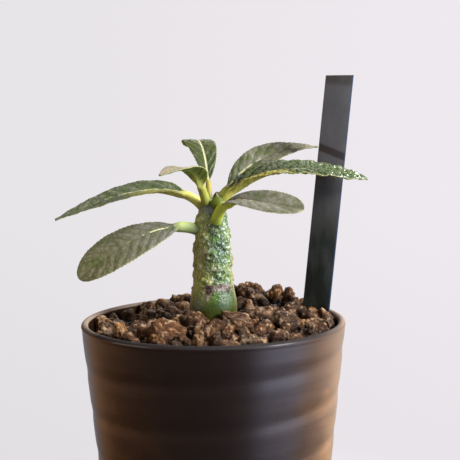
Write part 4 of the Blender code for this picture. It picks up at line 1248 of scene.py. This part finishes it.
def tag_material():
    """Glossy near-black plastic with scuffs, paler towards the top and darker by the grains, with a painted
    shadow across it and a painted blue highlight on its right edge.
    """
    mix = new_recipe("glossy_black_plastic")
    up = mix.attribute("up")
    sideways = mix.attribute("sideways")
    scuff = mix.noise(0.006, stretch=(1.0, 1.0, 0.35))
    fine = mix.noise(0.0005, detail=2.0, stretch=(1.0, 1.0, 0.12))
    slope = mix.plus(up, mix.times(sideways, 0.30))
    # A painted shadow: a dark line slanting across the tag
    painted_shadow = mix.times(mix.math("ABSOLUTE", mix.math("SUBTRACT", slope, PAINTED_SHADOW_LEVEL)), 1.0 / PAINTED_SHADOW_WIDTH)
    tint = mix.ramp(mix.times(up, 1.0 / TAG_TOP), (0.0, (8, 12, 6)), (0.30, (14, 19, 11)),
                    (0.40, (44, 44, 40)), (0.50, (66, 64, 63)), (0.945, (66, 64, 64)),
                    (0.965, (48, 45, 42)), (1.0, (52, 49, 46)))
    tint = mix.layers(
        tint,
        (scuff, (0.4, 0.0), (0.8, 0.12), (130, 126, 124)),
        (painted_shadow, (0.45, 0.95), (0.85, 0.0), (40, 33, 29)),
        # Painted highlight: a blue light along the tag's right edge
        (mix.times(sideways, 2.0 / TAG_WIDTH), (0.88, 0.0), (0.95, 0.75), (42, 66, 98)))
    return mix.finish(base_color=tint, roughness=mix.ramp(fine, (0.3, 0.22), (0.7, 0.32)),
                      specular_ior_level=0.38, normal=mix.bump(fine, 0.00001))


def net_material():
    mix = new_recipe("dark_net_plastic")
    grain = mix.noise(0.0006, detail=2.0)
    return mix.finish(base_color=mix.ramp(grain, (0.3, (30, 31, 32)), (0.7, (46, 47, 48))),
                      roughness=0.55, normal=mix.bump(grain, 0.00004))


# Stage

def softbox(name, turn, rise, distance, size, power, tint):
    """A lamp aimed at the plant from this turn to the right of the camera's side, in degrees."""
    light = bpy.data.lights.new(name, "AREA")
    light.shape = "RECTANGLE"
    light.size, light.size_y = size
    light.energy = power
    light.color = tint
    obj = linked(name, light)
    a = math.radians(turn)
    e = math.radians(rise)
    out = Vector((math.sin(a) * math.cos(e), -math.cos(a) * math.cos(e), math.sin(e)))
    obj.location = AIM + out * distance
    obj.rotation_euler = (obj.location - AIM).to_track_quat("Z", "Y").to_euler()


def build_floor():
    """A round pale floor whose far edge melts into the backdrop."""
    work = bmesh.new()
    bmesh.ops.create_circle(work, cap_ends=True, radius=6.0, segments=96)
    floor = linked("pale_floor", drawn_mesh("pale_floor", work))
    mix = new_recipe("pale_floor")
    mix.finish(base_color=linear((208, 206, 208)), roughness=0.8, specular_ior_level=0.0)
    away = mix.node("ShaderNodeVectorMath", {0: mix.place}, operation="LENGTH").outputs["Value"]
    clear = mix.node("ShaderNodeBsdfTransparent").outputs[0]
    solid = mix.tree.nodes["Principled BSDF"].outputs[0]
    mix.show("Material Output", mix.ramp(away, (0.045, 0.9), (0.13, 0.0)), clear, solid)
    floor.data.materials.append(mix.block)
    floor.visible_glossy = False


def build_world():
    """A pale room: a cool window on the right, warm walls, dim in front, and plain where it is seen."""
    world = bpy.data.worlds.new("pale_room")
    bpy.context.scene.world = world
    mix = Recipe(world, "Generated")
    x, _, z = mix.split()
    around = mix.around()
    level = mix.plus(mix.times(z, 0.5), 0.5)
    room = mix.ramp(around, *((degrees / 360 + 0.5, (*(channel / ROOM_PEAK for channel in light), 1.0))
                              for degrees, *light in ROOM))
    bright, plain = (mix.ramp(level, (0.17, 0.26), (0.27, 0.36), low_wall, (0.55, 0.72), (0.68, 0.28),
                              (0.90, 0.17)) for low_wall in ((0.36, 1.0), (0.40, 0.48)))
    front = mix.ramp(around, (0.25, 0.0), (0.33, 1.0), (0.56, 1.0), (0.62, 0.0))
    room = mix.blend(1.0, room, mix.blend(front, bright, plain), "MULTIPLY")
    ray = mix.node("ShaderNodeLightPath").outputs
    power = mix.times(mix.ramp(ray["Is Diffuse Ray"], (0.0, 1.0), (1.0, 0.8)), ROOM_PEAK * ROOM_LIGHT)
    lit = mix.node("ShaderNodeBackground", {"Color": room, "Strength": power})
    wide = mix.ramp(mix.plus(x, 0.5), (0.26, (231, 228, 231)), (0.74, (238, 233, 238)))
    wide = mix.blend(1.0, wide, mix.ramp(level, (0.34, 0.955), (0.46, 1.0)), "MULTIPLY")
    seen = mix.tree.nodes["Background"]
    feed(mix.tree, seen.inputs["Color"], wide)
    mix.show("World Output", ray["Is Camera Ray"], lit.outputs[0], seen.outputs[0])


def build_camera():
    """Looks at the plant from a little above, as the photo does."""
    camera = linked("camera", bpy.data.cameras.new("camera"))
    place = Matrix.Translation(CAMERA_PLACE)
    for angle, axis in ((-CAMERA_YAW, "Z"), (math.pi / 2 - CAMERA_PITCH, "X"), (-CAMERA_ROLL, "Z")):
        place = place @ Matrix.Rotation(angle, 4, axis)
    camera.matrix_world = place
    camera.data.lens = CAMERA_LENS
    camera.data.clip_start = 0.01
    bpy.context.scene.camera = camera


bpy.context.scene.view_settings.view_transform = "Standard"
build_camera()
build_world()
build_floor()
softbox("window", 62, 32, 1.1, (0.36, 0.40), 25.0, (0.96, 0.97, 1.0))
softbox("left_fill", -72, 16, 1.2, (0.8, 0.8), 3.5, (1.0, 0.97, 0.92))
softbox("back_glow", 165, 28, 1.2, (0.9, 0.5), 6.0, (1.0, 0.97, 0.93))

build_pot(glaze_material())
build_grains(grain_material())
build_stem(stem_material())
for number, blade in enumerate(LEAVES):
    build_leaf(blade, number * 3.7, leaf_material(blade.name, LOOKS[blade.name]))
bud_look = bud_material()
build_bud(bud_look)
build_scale(bud_look)
build_tag(tag_material())
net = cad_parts["drain_net"]
net.data.materials.clear()
net.data.materials.append(net_material())
